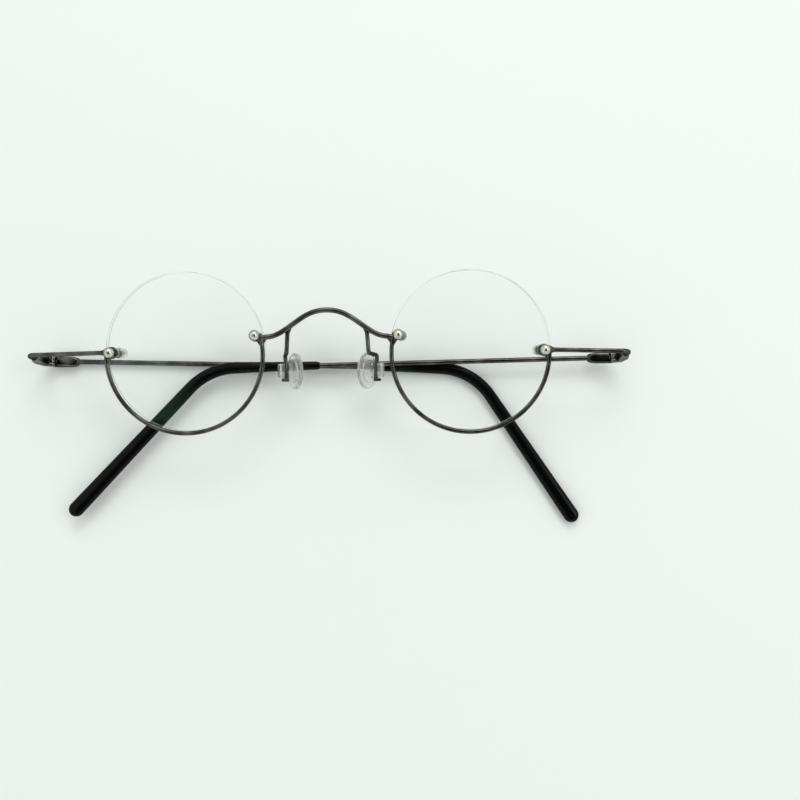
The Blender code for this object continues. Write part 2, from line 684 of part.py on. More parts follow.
def main():
    clear_scene()
    glasses = place_empty("glasses", None, Matrix.Identity(4))
    turn = Matrix.Rotation(FRONT_ROLL, 4, "Y") @ Matrix.Rotation(FRONT_TILT, 4, "X")
    pin_heights = [TEMPLE_HEIGHT[side] + HINGE_OFFSET for side in SIDES]
    fallen = [(turn @ pin_point(side)).z for side in SIDES]
    rise = (sum(pin_heights) - sum(fallen)) / 2
    front_frame = Matrix.Translation(Z * rise) @ turn
    front = place_empty("front_frame", glasses, front_frame)
    make_fasteners(front)
    make_bridge(front)
    for side in SIDES:
        make_lens(side, front)
        make_rim(side, front)
        make_pad_arm(side, front)
        make_nose_pad(side, front)
        make_endpiece(side, front)
        pin = front_frame @ pin_point(side)
        temple = place_empty(side + "_temple_axis", glasses, Matrix.Translation(pin))
        make_hinge(side, front, temple)
        make_temple_wire(side, temple)
        make_tip(side, temple)
    glasses.location = lowest_and_middle()


main()
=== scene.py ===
"""The finished look of the half rim eyeglasses, laid out as a Blender add-on.

The solid model is the fixed frame: each piece here has its place and its size, and a finer surface. All
lengths are in metres. The table is Z = 0, and the folded glasses lie on it with their front up.
"""

import json
import math

import bmesh
import bpy
from bpy.props import FloatProperty, FloatVectorProperty, PointerProperty
from bpy.types import Operator, Panel, PropertyGroup
from mathutils import Matrix, Quaternion, Vector


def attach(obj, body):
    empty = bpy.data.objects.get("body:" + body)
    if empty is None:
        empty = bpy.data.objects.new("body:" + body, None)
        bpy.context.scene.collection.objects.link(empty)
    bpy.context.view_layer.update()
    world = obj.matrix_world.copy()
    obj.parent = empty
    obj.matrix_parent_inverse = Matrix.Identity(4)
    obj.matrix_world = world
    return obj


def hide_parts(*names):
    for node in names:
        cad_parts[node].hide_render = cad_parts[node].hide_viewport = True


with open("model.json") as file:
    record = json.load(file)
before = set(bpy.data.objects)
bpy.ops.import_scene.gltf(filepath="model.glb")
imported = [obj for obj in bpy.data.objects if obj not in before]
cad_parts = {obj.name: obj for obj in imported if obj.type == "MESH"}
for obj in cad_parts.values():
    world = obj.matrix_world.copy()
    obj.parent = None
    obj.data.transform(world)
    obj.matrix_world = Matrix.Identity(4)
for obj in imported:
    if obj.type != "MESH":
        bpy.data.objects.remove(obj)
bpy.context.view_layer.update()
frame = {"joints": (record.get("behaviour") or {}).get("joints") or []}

bl_info = {
    "name": "Half Rim Eyeglasses",
    "version": (1, 0, 0),
    "blender": (4, 5, 0),
    "location": "3D View > Sidebar > Eyeglasses",
    "description": "Makes wire eyeglasses with round lenses, folded on a table",
    "category": "Add Mesh",
}

MM = 0.001
DEGREE = math.pi / 180.0
SIDES = {"left": -1.0, "right": 1.0}
ENDS = ("nasal", "temporal")
X = Vector((1.0, 0.0, 0.0))
Y = Vector((0.0, 1.0, 0.0))
Z = Vector((0.0, 0.0, 1.0))
UPRIGHT = Matrix.Rotation(-math.pi / 2, 4, "X")

# Lenses and rims
LENS_CURVE = 115.0 * MM
LENS_SPACING = 68.4 * MM
LENS_RAISE = 0.8 * MM
LENS_BEVEL = 0.15 * MM
EDGE_BAND = 0.12 * MM
RIM_INSET = 0.4 * MM
RIM_OVERRUN = 0.25 * MM
EYELET_DIAMETER = 2.9 * MM
EYELET_THICKNESS = 0.7 * MM
EYELET_WEB = 3.2 * MM

# Lens screws and what they clamp
HOLE_INSET = 1.95 * MM
HOLE_ANGLE = {"nasal": 12.2 * DEGREE, "temporal": -0.5 * DEGREE}
SCREW_DIAMETER = 1.2 * MM
BALL_SEAT = 1.8 * MM
WASHER_DIAMETER = 2.5 * MM
WASHER_THICKNESS = 0.2 * MM
BUSHING_WALL = 0.3 * MM
NUT_WIDTH = 2.3 * MM
NUT_THICKNESS = 0.6 * MM
CAP_BORE = 1.4 * MM
CAP_NOSE = 1.0 * MM

# Bridge and pad arms
BRIDGE_JOINT_ANGLE = 12.0 * DEGREE
BRIDGE_STUB = 0.8 * MM
BRIDGE_FULLNESS = 1.15
SOLDER_REACH = 1.3 * MM
SOLDER_DEPTH = 0.85 * MM
PAD_ARM_SPACING = 19.0 * MM
PAD_BAR_REACH = {"left": 10.4 * MM, "right": 11.3 * MM}
PAD_BAR_DEPTH = 5.0 * MM
PAD_BAR_NECK = 0.8 * MM
PAD_ARM_LEAN = 0.4 * MM
PAD_ARM_LIFT = 1.2 * MM
PAD_ARM_ELBOW = 1.75 * MM
PAD_ARM_TURN = 0.9 * MM
PAD_ARM_BULGE = 0.45 * MM
PAD_CENTRE_DROP = 4.1 * MM
PAD_NUB = 0.7 * MM
PAD_NUB_REACH = 1.35 * MM
FLARE = 0.8
FLARE_LENGTH = 0.7 * MM

# Nose pads
PAD_SPLAY = 42.0 * DEGREE
PAD_STANDOFF = 1.45 * MM
PAD_FORWARD = 1.4 * MM
LUG_HEIGHT = 3.6 * MM
LUG_WALL = 0.55 * MM
LUG_REACH = 2.0 * MM
PAD_INNER = 0.62
PAD_INNER_RISE = 0.35 * MM

# Endpieces and hinges
ENDPIECE_FALL = 0.5 * MM
CORNER_RADIUS = 2.2 * MM
ENDPIECE_COLLAR = 0.5
ENDPIECE_COLLAR_LENGTH = 4.8 * MM
HINGE_DEPTH = 10.5 * MM
PIN_SPACING = 142.0 * MM
HINGE_WIDTH = 2.2 * MM
CHEEK = 0.75 * MM
KNUCKLE = 0.9 * MM
PIN_DIAMETER = 0.9 * MM
PIN_HEAD_DIAMETER = 1.6 * MM
PIN_HEAD = 0.35 * MM
PIN_SLOT = 0.28 * MM
FORK_LENGTH = 7.0 * MM
LEAF_LENGTH = 6.5 * MM
HINGE_SHOULDER_AT = 0.62
SOCKET_DEPTH = 2.0 * MM

# Temples
TEMPLE_DROOP = 1.3 * DEGREE
TEMPLE_BEND_RADIUS = 16.0 * MM
TEMPLE_BEND_AT = {"left": 106.5 * MM, "right": 101.9 * MM}
TEMPLE_DROP_ANGLE = {"left": 55.3 * DEGREE, "right": 46.0 * DEGREE}
TEMPLE_DROP_LENGTH = {"left": 46.2 * MM, "right": 49.4 * MM}
TIP_BEFORE_BEND = {"left": 24.7 * MM, "right": 28.0 * MM}
TIP_START_WIDTH = 2.1 * MM
TIP_BEND_WIDTH = 3.0 * MM
TIP_WIRE_END = 6.0 * MM
TIP_MOUTH_TAPER = 0.8
TEMPLE_GAP = 0.3 * MM
FRONT_TILT = 8.0 * DEGREE

# Clearances
CONTACT = 0.05 * MM
RADIAL_PLAY = 0.1 * MM
SOLDER_GAP = 0.1 * MM
HINGE_PLAY = 0.1 * MM
OVERCUT = 1.0 * MM

# How finely shapes are made
WIRE_SIDES = 24
ROUND_SIDES = 40
LENS_SIDES = 192
RIM_STEPS = 120
BEND_STEPS = 32
# Painted sheen: how much paler the hinge forks are painted than the other gunmetal
FORK_PAINTED_SHEEN = 2.2
SKIN_GRAIN = 0.085 * MM
SKIN_SWELL = 0.025 * MM
SHARP_ANGLE = 40.0 * DEGREE

# The camera and the lamps
CAMERA_PLACE = (0.017206, -0.016548, 0.197963)
CAMERA_TURN = (0.085902, 0.000223, -0.005153)
CAMERA_LENS = 35.034
SENSOR_WIDTH = 36.0
ROOM_LIGHT = 1.0
DIM_LIGHT = 0.03
DIM_WAY = (0.15, -0.20, 0.968)
DIM_HEART = 22.0 * DEGREE
DIM_EDGE = 36.0 * DEGREE


class EyeglassSizes(PropertyGroup):
    """The sizes of the glasses that a maker would change."""

    lens_diameter: FloatProperty(
        name="Lens diameter", description="Across one round lens", default=0.0384, unit="LENGTH", precision=4
    )
    lens_thickness: FloatProperty(
        name="Lens thickness", description="Through a lens", default=0.0018, unit="LENGTH", precision=4
    )
    rim_wire: FloatProperty(
        name="Rim wire", description="Thickness of the rims' wire", default=0.001, unit="LENGTH", precision=4
    )
    bridge_wire: FloatProperty(
        name="Bridge wire", description="Thickness of the bridge's wire", default=0.0012, unit="LENGTH", precision=4
    )
    bridge_rise: FloatProperty(
        name="Bridge rise", description="Height of the arch above its feet", default=0.0063, unit="LENGTH", precision=4
    )
    pad_wire: FloatProperty(
        name="Pad arm wire", description="Thickness of the pad arms", default=0.001, unit="LENGTH", precision=4
    )
    pad_height: FloatProperty(
        name="Nose pad height", description="Long way of an oval pad", default=0.009, unit="LENGTH", precision=4
    )
    pad_width: FloatProperty(
        name="Nose pad width", description="Short way of an oval pad", default=0.0066, unit="LENGTH", precision=4
    )
    pad_thickness: FloatProperty(
        name="Nose pad thickness", description="Through an oval pad", default=0.0012, unit="LENGTH", precision=4
    )
    endpiece_wire: FloatProperty(
        name="Endpiece wire", description="Thickness of the endpieces", default=0.00105, unit="LENGTH", precision=4
    )
    temple_wire: FloatProperty(
        name="Temple wire", description="Thickness of the temples", default=0.00125, unit="LENGTH", precision=4
    )
    tip_thickness: FloatProperty(
        name="Tip thickness", description="Thin way of a temple tip", default=0.0022, unit="LENGTH", precision=4
    )
    tip_width: FloatProperty(
        name="Tip width", description="Wide way of a tip at its end", default=0.0038, unit="LENGTH", precision=4
    )
    ball_diameter: FloatProperty(
        name="Screw ball", description="Across the ball head of a lens screw", default=0.0026, unit="LENGTH", precision=4
    )
    cap_diameter: FloatProperty(
        name="Cap diameter", description="Across the clear cap of a screw", default=0.0024, unit="LENGTH", precision=4
    )
    cap_length: FloatProperty(
        name="Cap length", description="Length of the clear cap", default=0.0026, unit="LENGTH", precision=4
    )


class EyeglassColours(PropertyGroup):
    """The colours of the glasses and of the table."""

    gunmetal: FloatVectorProperty(
        name="Gunmetal", description="The dark plated wires", default=(0.056, 0.055, 0.053), subtype="COLOR", size=3
    )
    gunmetal_worn: FloatVectorProperty(
        name="Worn gunmetal", description="Where the plating is thin", default=(0.15, 0.147, 0.138), subtype="COLOR", size=3
    )
    silver: FloatVectorProperty(
        name="Silver", description="Screws, washers and nuts", default=(0.60, 0.585, 0.53), subtype="COLOR", size=3
    )
    # Painted shade: the dark colour that silver is given along its outline, where it is seen flat on.
    silver_painted_rim_shade: FloatVectorProperty(
        name="Silver edge", description="Silver where it is seen flat on", default=(0.10, 0.095, 0.085),
        subtype="COLOR", size=3
    )
    lens: FloatVectorProperty(
        name="Lens coating", description="What the coated lenses reflect", default=(0.35, 0.95, 0.62), subtype="COLOR", size=3
    )
    lens_edge: FloatVectorProperty(
        name="Lens edge", description="The ground edge of a lens", default=(0.36, 0.39, 0.385), subtype="COLOR", size=3
    )
    silicone: FloatVectorProperty(
        name="Silicone", description="The nose pads", default=(0.93, 0.95, 0.94), subtype="COLOR", size=3
    )
    clear: FloatVectorProperty(
        name="Clear plastic", description="Caps, washers and bushings", default=(0.90, 0.92, 0.90), subtype="COLOR", size=3
    )
    black: FloatVectorProperty(
        name="Black plastic", description="The temple tips", default=(0.002, 0.0022, 0.0022), subtype="COLOR", size=3
    )
    table: FloatVectorProperty(
        name="Table", description="The pale table top", default=(0.865, 0.90, 0.872), subtype="COLOR", size=3
    )


# Shaders


class Number:
    """A number that a shader works out, so that maths on it reads as maths."""

    def __init__(self, look, socket):
        self.look = look
        self.socket = socket

    def worked(self, operation, first, second):
        return self.look.number("ShaderNodeMath", {"operation": operation}, {0: first, 1: second})

    def __add__(self, other):
        return self.worked("ADD", self, other)

    __radd__ = __add__

    def __mul__(self, other):
        return self.worked("MULTIPLY", self, other)

    __rmul__ = __mul__

    def __sub__(self, other):
        return self.worked("SUBTRACT", self, other)

    def __rsub__(self, other):
        return self.worked("SUBTRACT", other, self)

    def __pow__(self, other):
        return self.worked("POWER", self, other)

    def at_most(self, other):
        return self.worked("MINIMUM", self, other)


class Look:
    """One material, its surface shader and the nodes that feed it."""

    def __init__(self, name, **plain):
        self.material = bpy.data.materials.new(name)
        self.material.use_nodes = True
        self.nodes = self.material.node_tree.nodes
        self.surface = self.nodes["Principled BSDF"]
        self.place = self.node("ShaderNodeTexCoord").outputs["Object"]
        for name, value in plain.items():
            self.surface.inputs[name.replace("_", " ")].default_value = value

    def node(self, kind, settings=None, sockets=None):
        """A node of a type, with its settings made first and then the values or links of its sockets."""
        node = self.nodes.new(kind)
        for name, value in (settings or {}).items():
            if name == "stops":
                for stop, (position, colour) in zip(node.color_ramp.elements, value):
                    stop.position = position
                    stop.color = colour
            else:
                setattr(node, name, value)
        for key, value in (sockets or {}).items():
            self.feed(node.inputs[key], value)
        return node

    def number(self, kind, settings=None, sockets=None, output=0):
        return Number(self, self.node(kind, settings, sockets).outputs[output])

    def feed(self, socket, value):
        value = value.socket if isinstance(value, Number) else value
        if isinstance(value, bpy.types.NodeSocket):
            self.material.node_tree.links.new(value, socket)
        else:
            socket.default_value = value

    def noise(self, size, detail=2.0, stretch=(1.0, 1.0, 1.0)):
        """Cloudy noise whose patches are about this many metres across."""
        vector = self.node("ShaderNodeMapping", None, {"Vector": self.place, "Scale": stretch}).outputs[0]
        return self.number(
            "ShaderNodeTexNoise", None, {"Vector": vector, "Scale": 1.0 / size, "Detail": detail, "Roughness": 0.55}
        )

    def spread(self, value, low, high):
        """The value taken from low..high to 0..1 and kept within it."""
        sockets = {"Value": value, "From Min": low, "From Max": high}
        return self.number("ShaderNodeMapRange", {"clamp": True}, sockets)

    def blend(self, factor, first, second):
        """A colour from the first, where the factor is 0, to the second, where it is 1."""
        node = self.node("ShaderNodeMix", {"data_type": "RGBA"}, {"Factor": factor})
        self.feed(node.inputs[6], colour_of(first))
        self.feed(node.inputs[7], colour_of(second))
        return node.outputs[2]

    def facing(self):
        """0 where the surface is seen from straight above and 1 where it is seen flat on."""
        return self.number("ShaderNodeLayerWeight", None, {"Blend": 0.5}, "Facing")

    def bump(self, height, depth, strength=1.0):
        return self.node("ShaderNodeBump", None, {"Height": height, "Distance": depth, "Strength": strength}).outputs[0]

    def set(self, name, value):
        self.feed(self.surface.inputs[name], value)


def colour_of(value):
    if isinstance(value, bpy.types.NodeSocket):
        return value
    return (value[0], value[1], value[2], 1.0)


def gunmetal_look(colours, name="gunmetal", painted_sheen_lift=1.0):
    """Dark plated wire: polished, a little cloudy, lighter where the plating is thin. A lift above 1 paints a sheen,
    paler all over.
    """
    look = Look(name, Metallic=1.0, Specular_Tint=(0.3, 0.3, 0.3, 1.0))
    cloud = look.noise(3.5 * MM, 4.0)
    grain = look.noise(0.11 * MM, 2.0)
    worn = look.spread(cloud, 0.42, 0.68)
    # Painted sheen: both colours are scaled by the lift, which makes the hinge forks paler
    plated, bare = ([part * painted_sheen_lift for part in colour] for colour in (colours.gunmetal, colours.gunmetal_worn))
    look.set("Base Color", look.blend(worn, plated, bare))
    look.set("Roughness", 0.07 + worn * 0.17 + grain * 0.05)
    look.set("Normal", look.bump(grain + cloud * 6.0, 0.006 * MM))
    return look.material


def hinge_fork_look(colours):
    """The same plating on the forks of the hinges, made paler all over as a painted sheen."""
    return gunmetal_look(colours, "hinge_fork", FORK_PAINTED_SHEEN)


def silver_look(colours):
    """Nickel-plated steel with fine handling marks, and painted shade along its outline where it is seen flat on."""
    look = Look("silver", Metallic=1.0, Specular_Tint=(0.35, 0.34, 0.32, 1.0))
    haze = look.noise(0.9 * MM, 3.0)
    marks = look.noise(0.16 * MM, 3.0, (1.0, 3.0, 1.0))
    dull = look.spread(haze, 0.45, 0.75)
    darker = [part * 0.62 for part in colours.silver]
    # Painted shade: the silver is darkened along its outline, where it is seen flat on, as if it reflected something
    # dark.
    edge = look.spread(look.facing(), 0.30, 0.90)
    look.set("Base Color", look.blend(edge, look.blend(dull, colours.silver, darker), colours.silver_painted_rim_shade))
    look.set("Roughness", 0.16 + dull * 0.14 + marks * 0.05)
    look.set("Normal", look.bump(marks, 0.004 * MM))
    return look.material


def lens_look(colours):
    """A coated clear lens: it shows only what it reflects, which is more the flatter it is seen."""
    look = Look("lens", Metallic=1.0)
    smear = look.noise(9.0 * MM, 3.0)
    look.set("Base Color", look.blend(look.spread(smear, 0.45, 0.8), colours.lens, (0.8, 0.95, 0.9)))
    look.set("Roughness", 0.02 + look.spread(smear, 0.5, 0.8) * 0.05)
    look.set("Alpha", 0.012 + look.facing()**5 * 0.6)
    return look.material


def lens_edge_look(colours, name="lens_edge", clearest=0.05, densest=0.16):
    """The half polished edge of a lens. It is denser in some places than in others."""
    look = Look(name)
    grind = look.noise(0.3 * MM, 3.0, (1.0, 1.0, 6.0))
    paler = [min(1.0, part * 1.25) for part in colours.lens_edge]
    look.set("Base Color", look.blend(grind, colours.lens_edge, paler))
    look.set("Roughness", 0.22 + grind * 0.25)
    look.set("Alpha", clearest + look.spread(look.noise(14.0 * MM), 0.35, 0.65) * (densest - clearest))
    look.set("Normal", look.bump(grind, 0.003 * MM))
    return look.material


def lens_bevel_look(colours):
    """The ground corner of a lens, which shows as a thin grey line."""
    return lens_edge_look(colours, "lens_bevel", 0.10, 0.55)


def silicone_look(colours):
    """Clear silicone, slightly milky, with a softly uneven moulded surface."""
    look = Look("pad_silicone", IOR=1.41, Transmission_Weight=0.85)
    ripple = look.noise(1.6 * MM, 2.0)
    look.set("Base Color", look.blend(ripple, colours.silicone, (0.98, 0.99, 0.99)))
    look.set("Roughness", 0.03 + ripple * 0.06)
    look.set("Normal", look.bump(ripple, 0.05 * MM))
    look.set("Alpha", 0.85)
    return look.material


def clear_look(colours):
    """Clear moulded plastic for the small caps, washers and bushings."""
    look = Look("clear_plastic", IOR=1.49, Transmission_Weight=1.0)
    haze = look.noise(0.7 * MM, 2.0)
    look.set("Base Color", look.blend(haze, colours.clear, (0.97, 0.98, 0.97)))
    look.set("Roughness", 0.04 + haze * 0.08)
    look.set("Normal", look.bump(haze, 0.01 * MM))
    look.set("Alpha", 0.80)
    return look.material


def black_look(colours):
    """Glossy black plastic with faint dull patches where it is handled."""
    look = Look("black_plastic", IOR=1.45, Specular_IOR_Level=0.12)
    handled = look.noise(6.0 * MM, 4.0)
    skin = look.noise(0.35 * MM, 2.0)
    dull = look.spread(handled, 0.55, 0.85)
    paler = [part * 2.0 for part in colours.black]
    look.set("Base Color", look.blend(dull, colours.black, paler))
    look.set("Roughness", 0.10 + dull * 0.10 + skin * 0.05)
    look.set("Normal", look.bump(skin, 0.006 * MM))
    return look.material


def table_look(colours):
    """A smooth pale table top."""
    look = Look("table", IOR=1.45)
    cloud = look.noise(0.11, 3.0)
    grain = look.noise(2.0 * MM, 2.0)
    darker = [part * 0.985 for part in colours.table]
    look.set("Base Color", look.blend(cloud, colours.table, darker))
    look.set("Roughness", 0.55 + grain * 0.15)
    look.set("Normal", look.bump(grain, 0.01 * MM))
    return look.material


LOOKS = {
    "gunmetal": gunmetal_look,
    "hinge_fork": hinge_fork_look,
    "silver": silver_look,
    "lens": lens_look,
    "lens_edge": lens_edge_look,
    "lens_bevel": lens_bevel_look,
    "pad_silicone": silicone_look,
    "clear_plastic": clear_look,
    "black_plastic": black_look,
    "table": table_look,
}


def material(name):
    """The material of that finish, made from its look the first time that it is asked for."""
    finish = name + "_finish"
    if finish not in bpy.data.materials:
        made = LOOKS[name](bpy.context.scene.eyeglass_colours)
        made.name = finish
    return bpy.data.materials[finish]


# Shapes


def tangents(points):
    steps = [(b - a).normalized() for a, b in zip(points, points[1:])]
    inner = [(a + b).normalized() for a, b in zip(steps, steps[1:])]
    return [steps[0], *inner, steps[-1]]


def skinned(rings):
    """A closed skin over rings of points, each with as many points as the next."""
    bm = bmesh.new()
    loops = [[bm.verts.new(point) for point in ring] for ring in rings]
    for near, far in zip(loops, loops[1:]):
        for i in range(len(near)):
            j = (i + 1) % len(near)
            bm.faces.new((near[i], near[j], far[j], far[i]))
    bm.faces.new(loops[0])
    bm.faces.new(loops[-1])
    bmesh.ops.recalc_face_normals(bm, faces=bm.faces)
    return bm


def swept(points, outlines, up, directions=None):
    """A solid along a path, with a closed outline of (across, up) pairs at each of its points."""
    rings = []
    for point, tangent, outline in zip(points, directions or tangents(points), outlines):
        up = (up - up.dot(tangent) * tangent).normalized()
        across = tangent.cross(up)
        rings.append([point + a * across + b * up for a, b in outline])
    return skinned(rings)


def oval(width, height, squareness=2.0, sides=WIRE_SIDES):
    """A closed outline that goes from an ellipse, at 2, towards a rectangle with round corners."""
    outline = []
    for i in range(sides):
        turn = 2 * math.pi * (i + 0.5) / sides
        c, s = math.cos(turn), math.sin(turn)
        across = math.copysign(abs(c) ** (2 / squareness), c) * width / 2
        upward = math.copysign(abs(s) ** (2 / squareness), s) * height / 2
        outline.append((across, upward))
    return outline


def wire(points, diameter, up, flares=(0.0, 0.0), reach=(FLARE_LENGTH, FLARE_LENGTH), deep=0.2):
    """A round wire along a path. A flare widens its start or its end, as solder does, mostly across it."""
    travelled = [0.0]
    for a, b in zip(points, points[1:]):
        travelled.append(travelled[-1] + (b - a).length)
    outlines = []
    for run in travelled:
        start = flares[0] * math.exp(-((run / reach[0]) ** 2))
        end = flares[1] * math.exp(-(((travelled[-1] - run) / reach[1]) ** 2))
        flare = start + end
        outlines.append(oval(diameter * (1 + flare), diameter * (1 + flare * deep)))
    return swept(points, outlines, up)


def spaced(points, step):
    """The same path with a point at least every so often."""
    path = [points[0]]
    for a, b in zip(points, points[1:]):
        pieces = max(1, math.ceil((b - a).length / step))
        path += [a.lerp(b, i / pieces) for i in range(1, pieces + 1)]
    return path


def turned(profile, sides=ROUND_SIDES, matrix=None):
    """A round solid about Z, from (radius, height) pairs that start and end on the axis or form a ring."""
    bm = bmesh.new()
    verts = [bm.verts.new((radius, 0.0, height)) for radius, height in profile]
    edges = [bm.edges.new(pair) for pair in zip(verts, verts[1:])]
    if profile[0][0] > 0:
        edges.append(bm.edges.new((verts[-1], verts[0])))
    whole = 2 * math.pi
    bmesh.ops.spin(bm, geom=verts + edges, cent=(0, 0, 0), axis=Z, angle=whole, steps=sides, use_merge=True)
    bmesh.ops.remove_doubles(bm, verts=bm.verts, dist=0.001 * MM)
    bmesh.ops.recalc_face_normals(bm, faces=bm.faces)
    if matrix:
        bm.transform(matrix)
    return bm


def rounded_ring(inner, outer, low, high, bevel):
    """A ring's profile with its outer corners rounded."""
    turns = [math.pi / 2 * i / 4 for i in range(5)]
    lower = [(outer - bevel + bevel * math.sin(t), low + bevel - bevel * math.cos(t)) for t in turns]
    upper = [(outer - bevel + bevel * math.cos(t), high - bevel + bevel * math.sin(t)) for t in turns]
    return [(inner, low), *lower, *upper, (inner, high)]


def rod(radius, low, high, matrix):
    return turned([(0.0, low), (radius, low), (radius, high), (0.0, high)], ROUND_SIDES, matrix)


def loose(name, shape):
    """An object that holds a shape for a while."""
    mesh = bpy.data.meshes.new(name)
    shape.to_mesh(mesh)
    shape.free()
    held = bpy.data.objects.new(name, mesh)
    bpy.context.scene.collection.objects.link(held)
    return held


def taken(held, tools=()):
    """The shape of a held object with its modifiers done. The object and its tools are cleared away."""
    bpy.context.view_layer.update()
    seen = held.evaluated_get(bpy.context.evaluated_depsgraph_get())
    bm = bmesh.new()
    bm.from_mesh(seen.data)
    for old in (held, *tools):
        mesh = old.data
        bpy.data.objects.remove(old, do_unlink=True)
        bpy.data.meshes.remove(mesh)
    return bm


def carved(shape, cutters, operation="DIFFERENCE"):
    held = loose("carved", shape)
    tools = [loose("cutter", cutter) for cutter in cutters]
    for tool in tools:
        cut = held.modifiers.new("cut", "BOOLEAN")
        cut.operation = operation
        cut.solver = "EXACT"
        cut.object = tool
    return taken(held, tools)


def joined(shapes):
    whole = bmesh.new()
    for shape in shapes:
        part = bpy.data.meshes.new("part")
        shape.to_mesh(part)
        shape.free()
        whole.from_mesh(part)
        bpy.data.meshes.remove(part)
    return whole


def fused(shapes, grain=SKIN_GRAIN, passes=6, swell=SKIN_SWELL):
    """One watertight skin over shapes that overlap, with their inner corners filled as solder fills them."""
    shape = joined(shapes)
    bmesh.ops.scale(shape, vec=(1 / MM, 1 / MM, 1 / MM), verts=shape.verts)
    held = loose("fused", shape)
    skin = held.modifiers.new("skin", "REMESH")
    skin.mode = "VOXEL"
    skin.voxel_size = grain / MM
    soften = held.modifiers.new("soften", "SMOOTH")
    soften.factor = 0.5
    soften.iterations = passes
    shape = taken(held)
    bmesh.ops.scale(shape, vec=(MM, MM, MM), verts=shape.verts)
    shape.normal_update()
    for vert in shape.verts:
        vert.co += vert.normal * swell
    return shape


def piece(name, shape, body, slot, node, looks=None):
    """A finished piece: its mesh, its materials, the body it rides on and the solid it stands for."""
    mesh = bpy.data.meshes.new(name)
    shape.to_mesh(mesh)
    shape.free()
    mesh.shade_smooth()
    mesh.set_sharp_from_angle(angle=SHARP_ANGLE)
    for look in looks or (slot,):
        mesh.materials.append(material(look))
    made = bpy.data.objects.new(name, mesh)
    bpy.context.scene.collection.objects.link(made)
    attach(made, body)
    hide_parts(node)
    return made


# Places: everything on the front is laid out in the front's own frame, midway between the rims


def joint_place(name):
    for joint in frame["joints"]:
        if joint["name"] == name:
            return Vector(joint["pos_m"])
    raise RuntimeError("the frame has no joint named " + name)


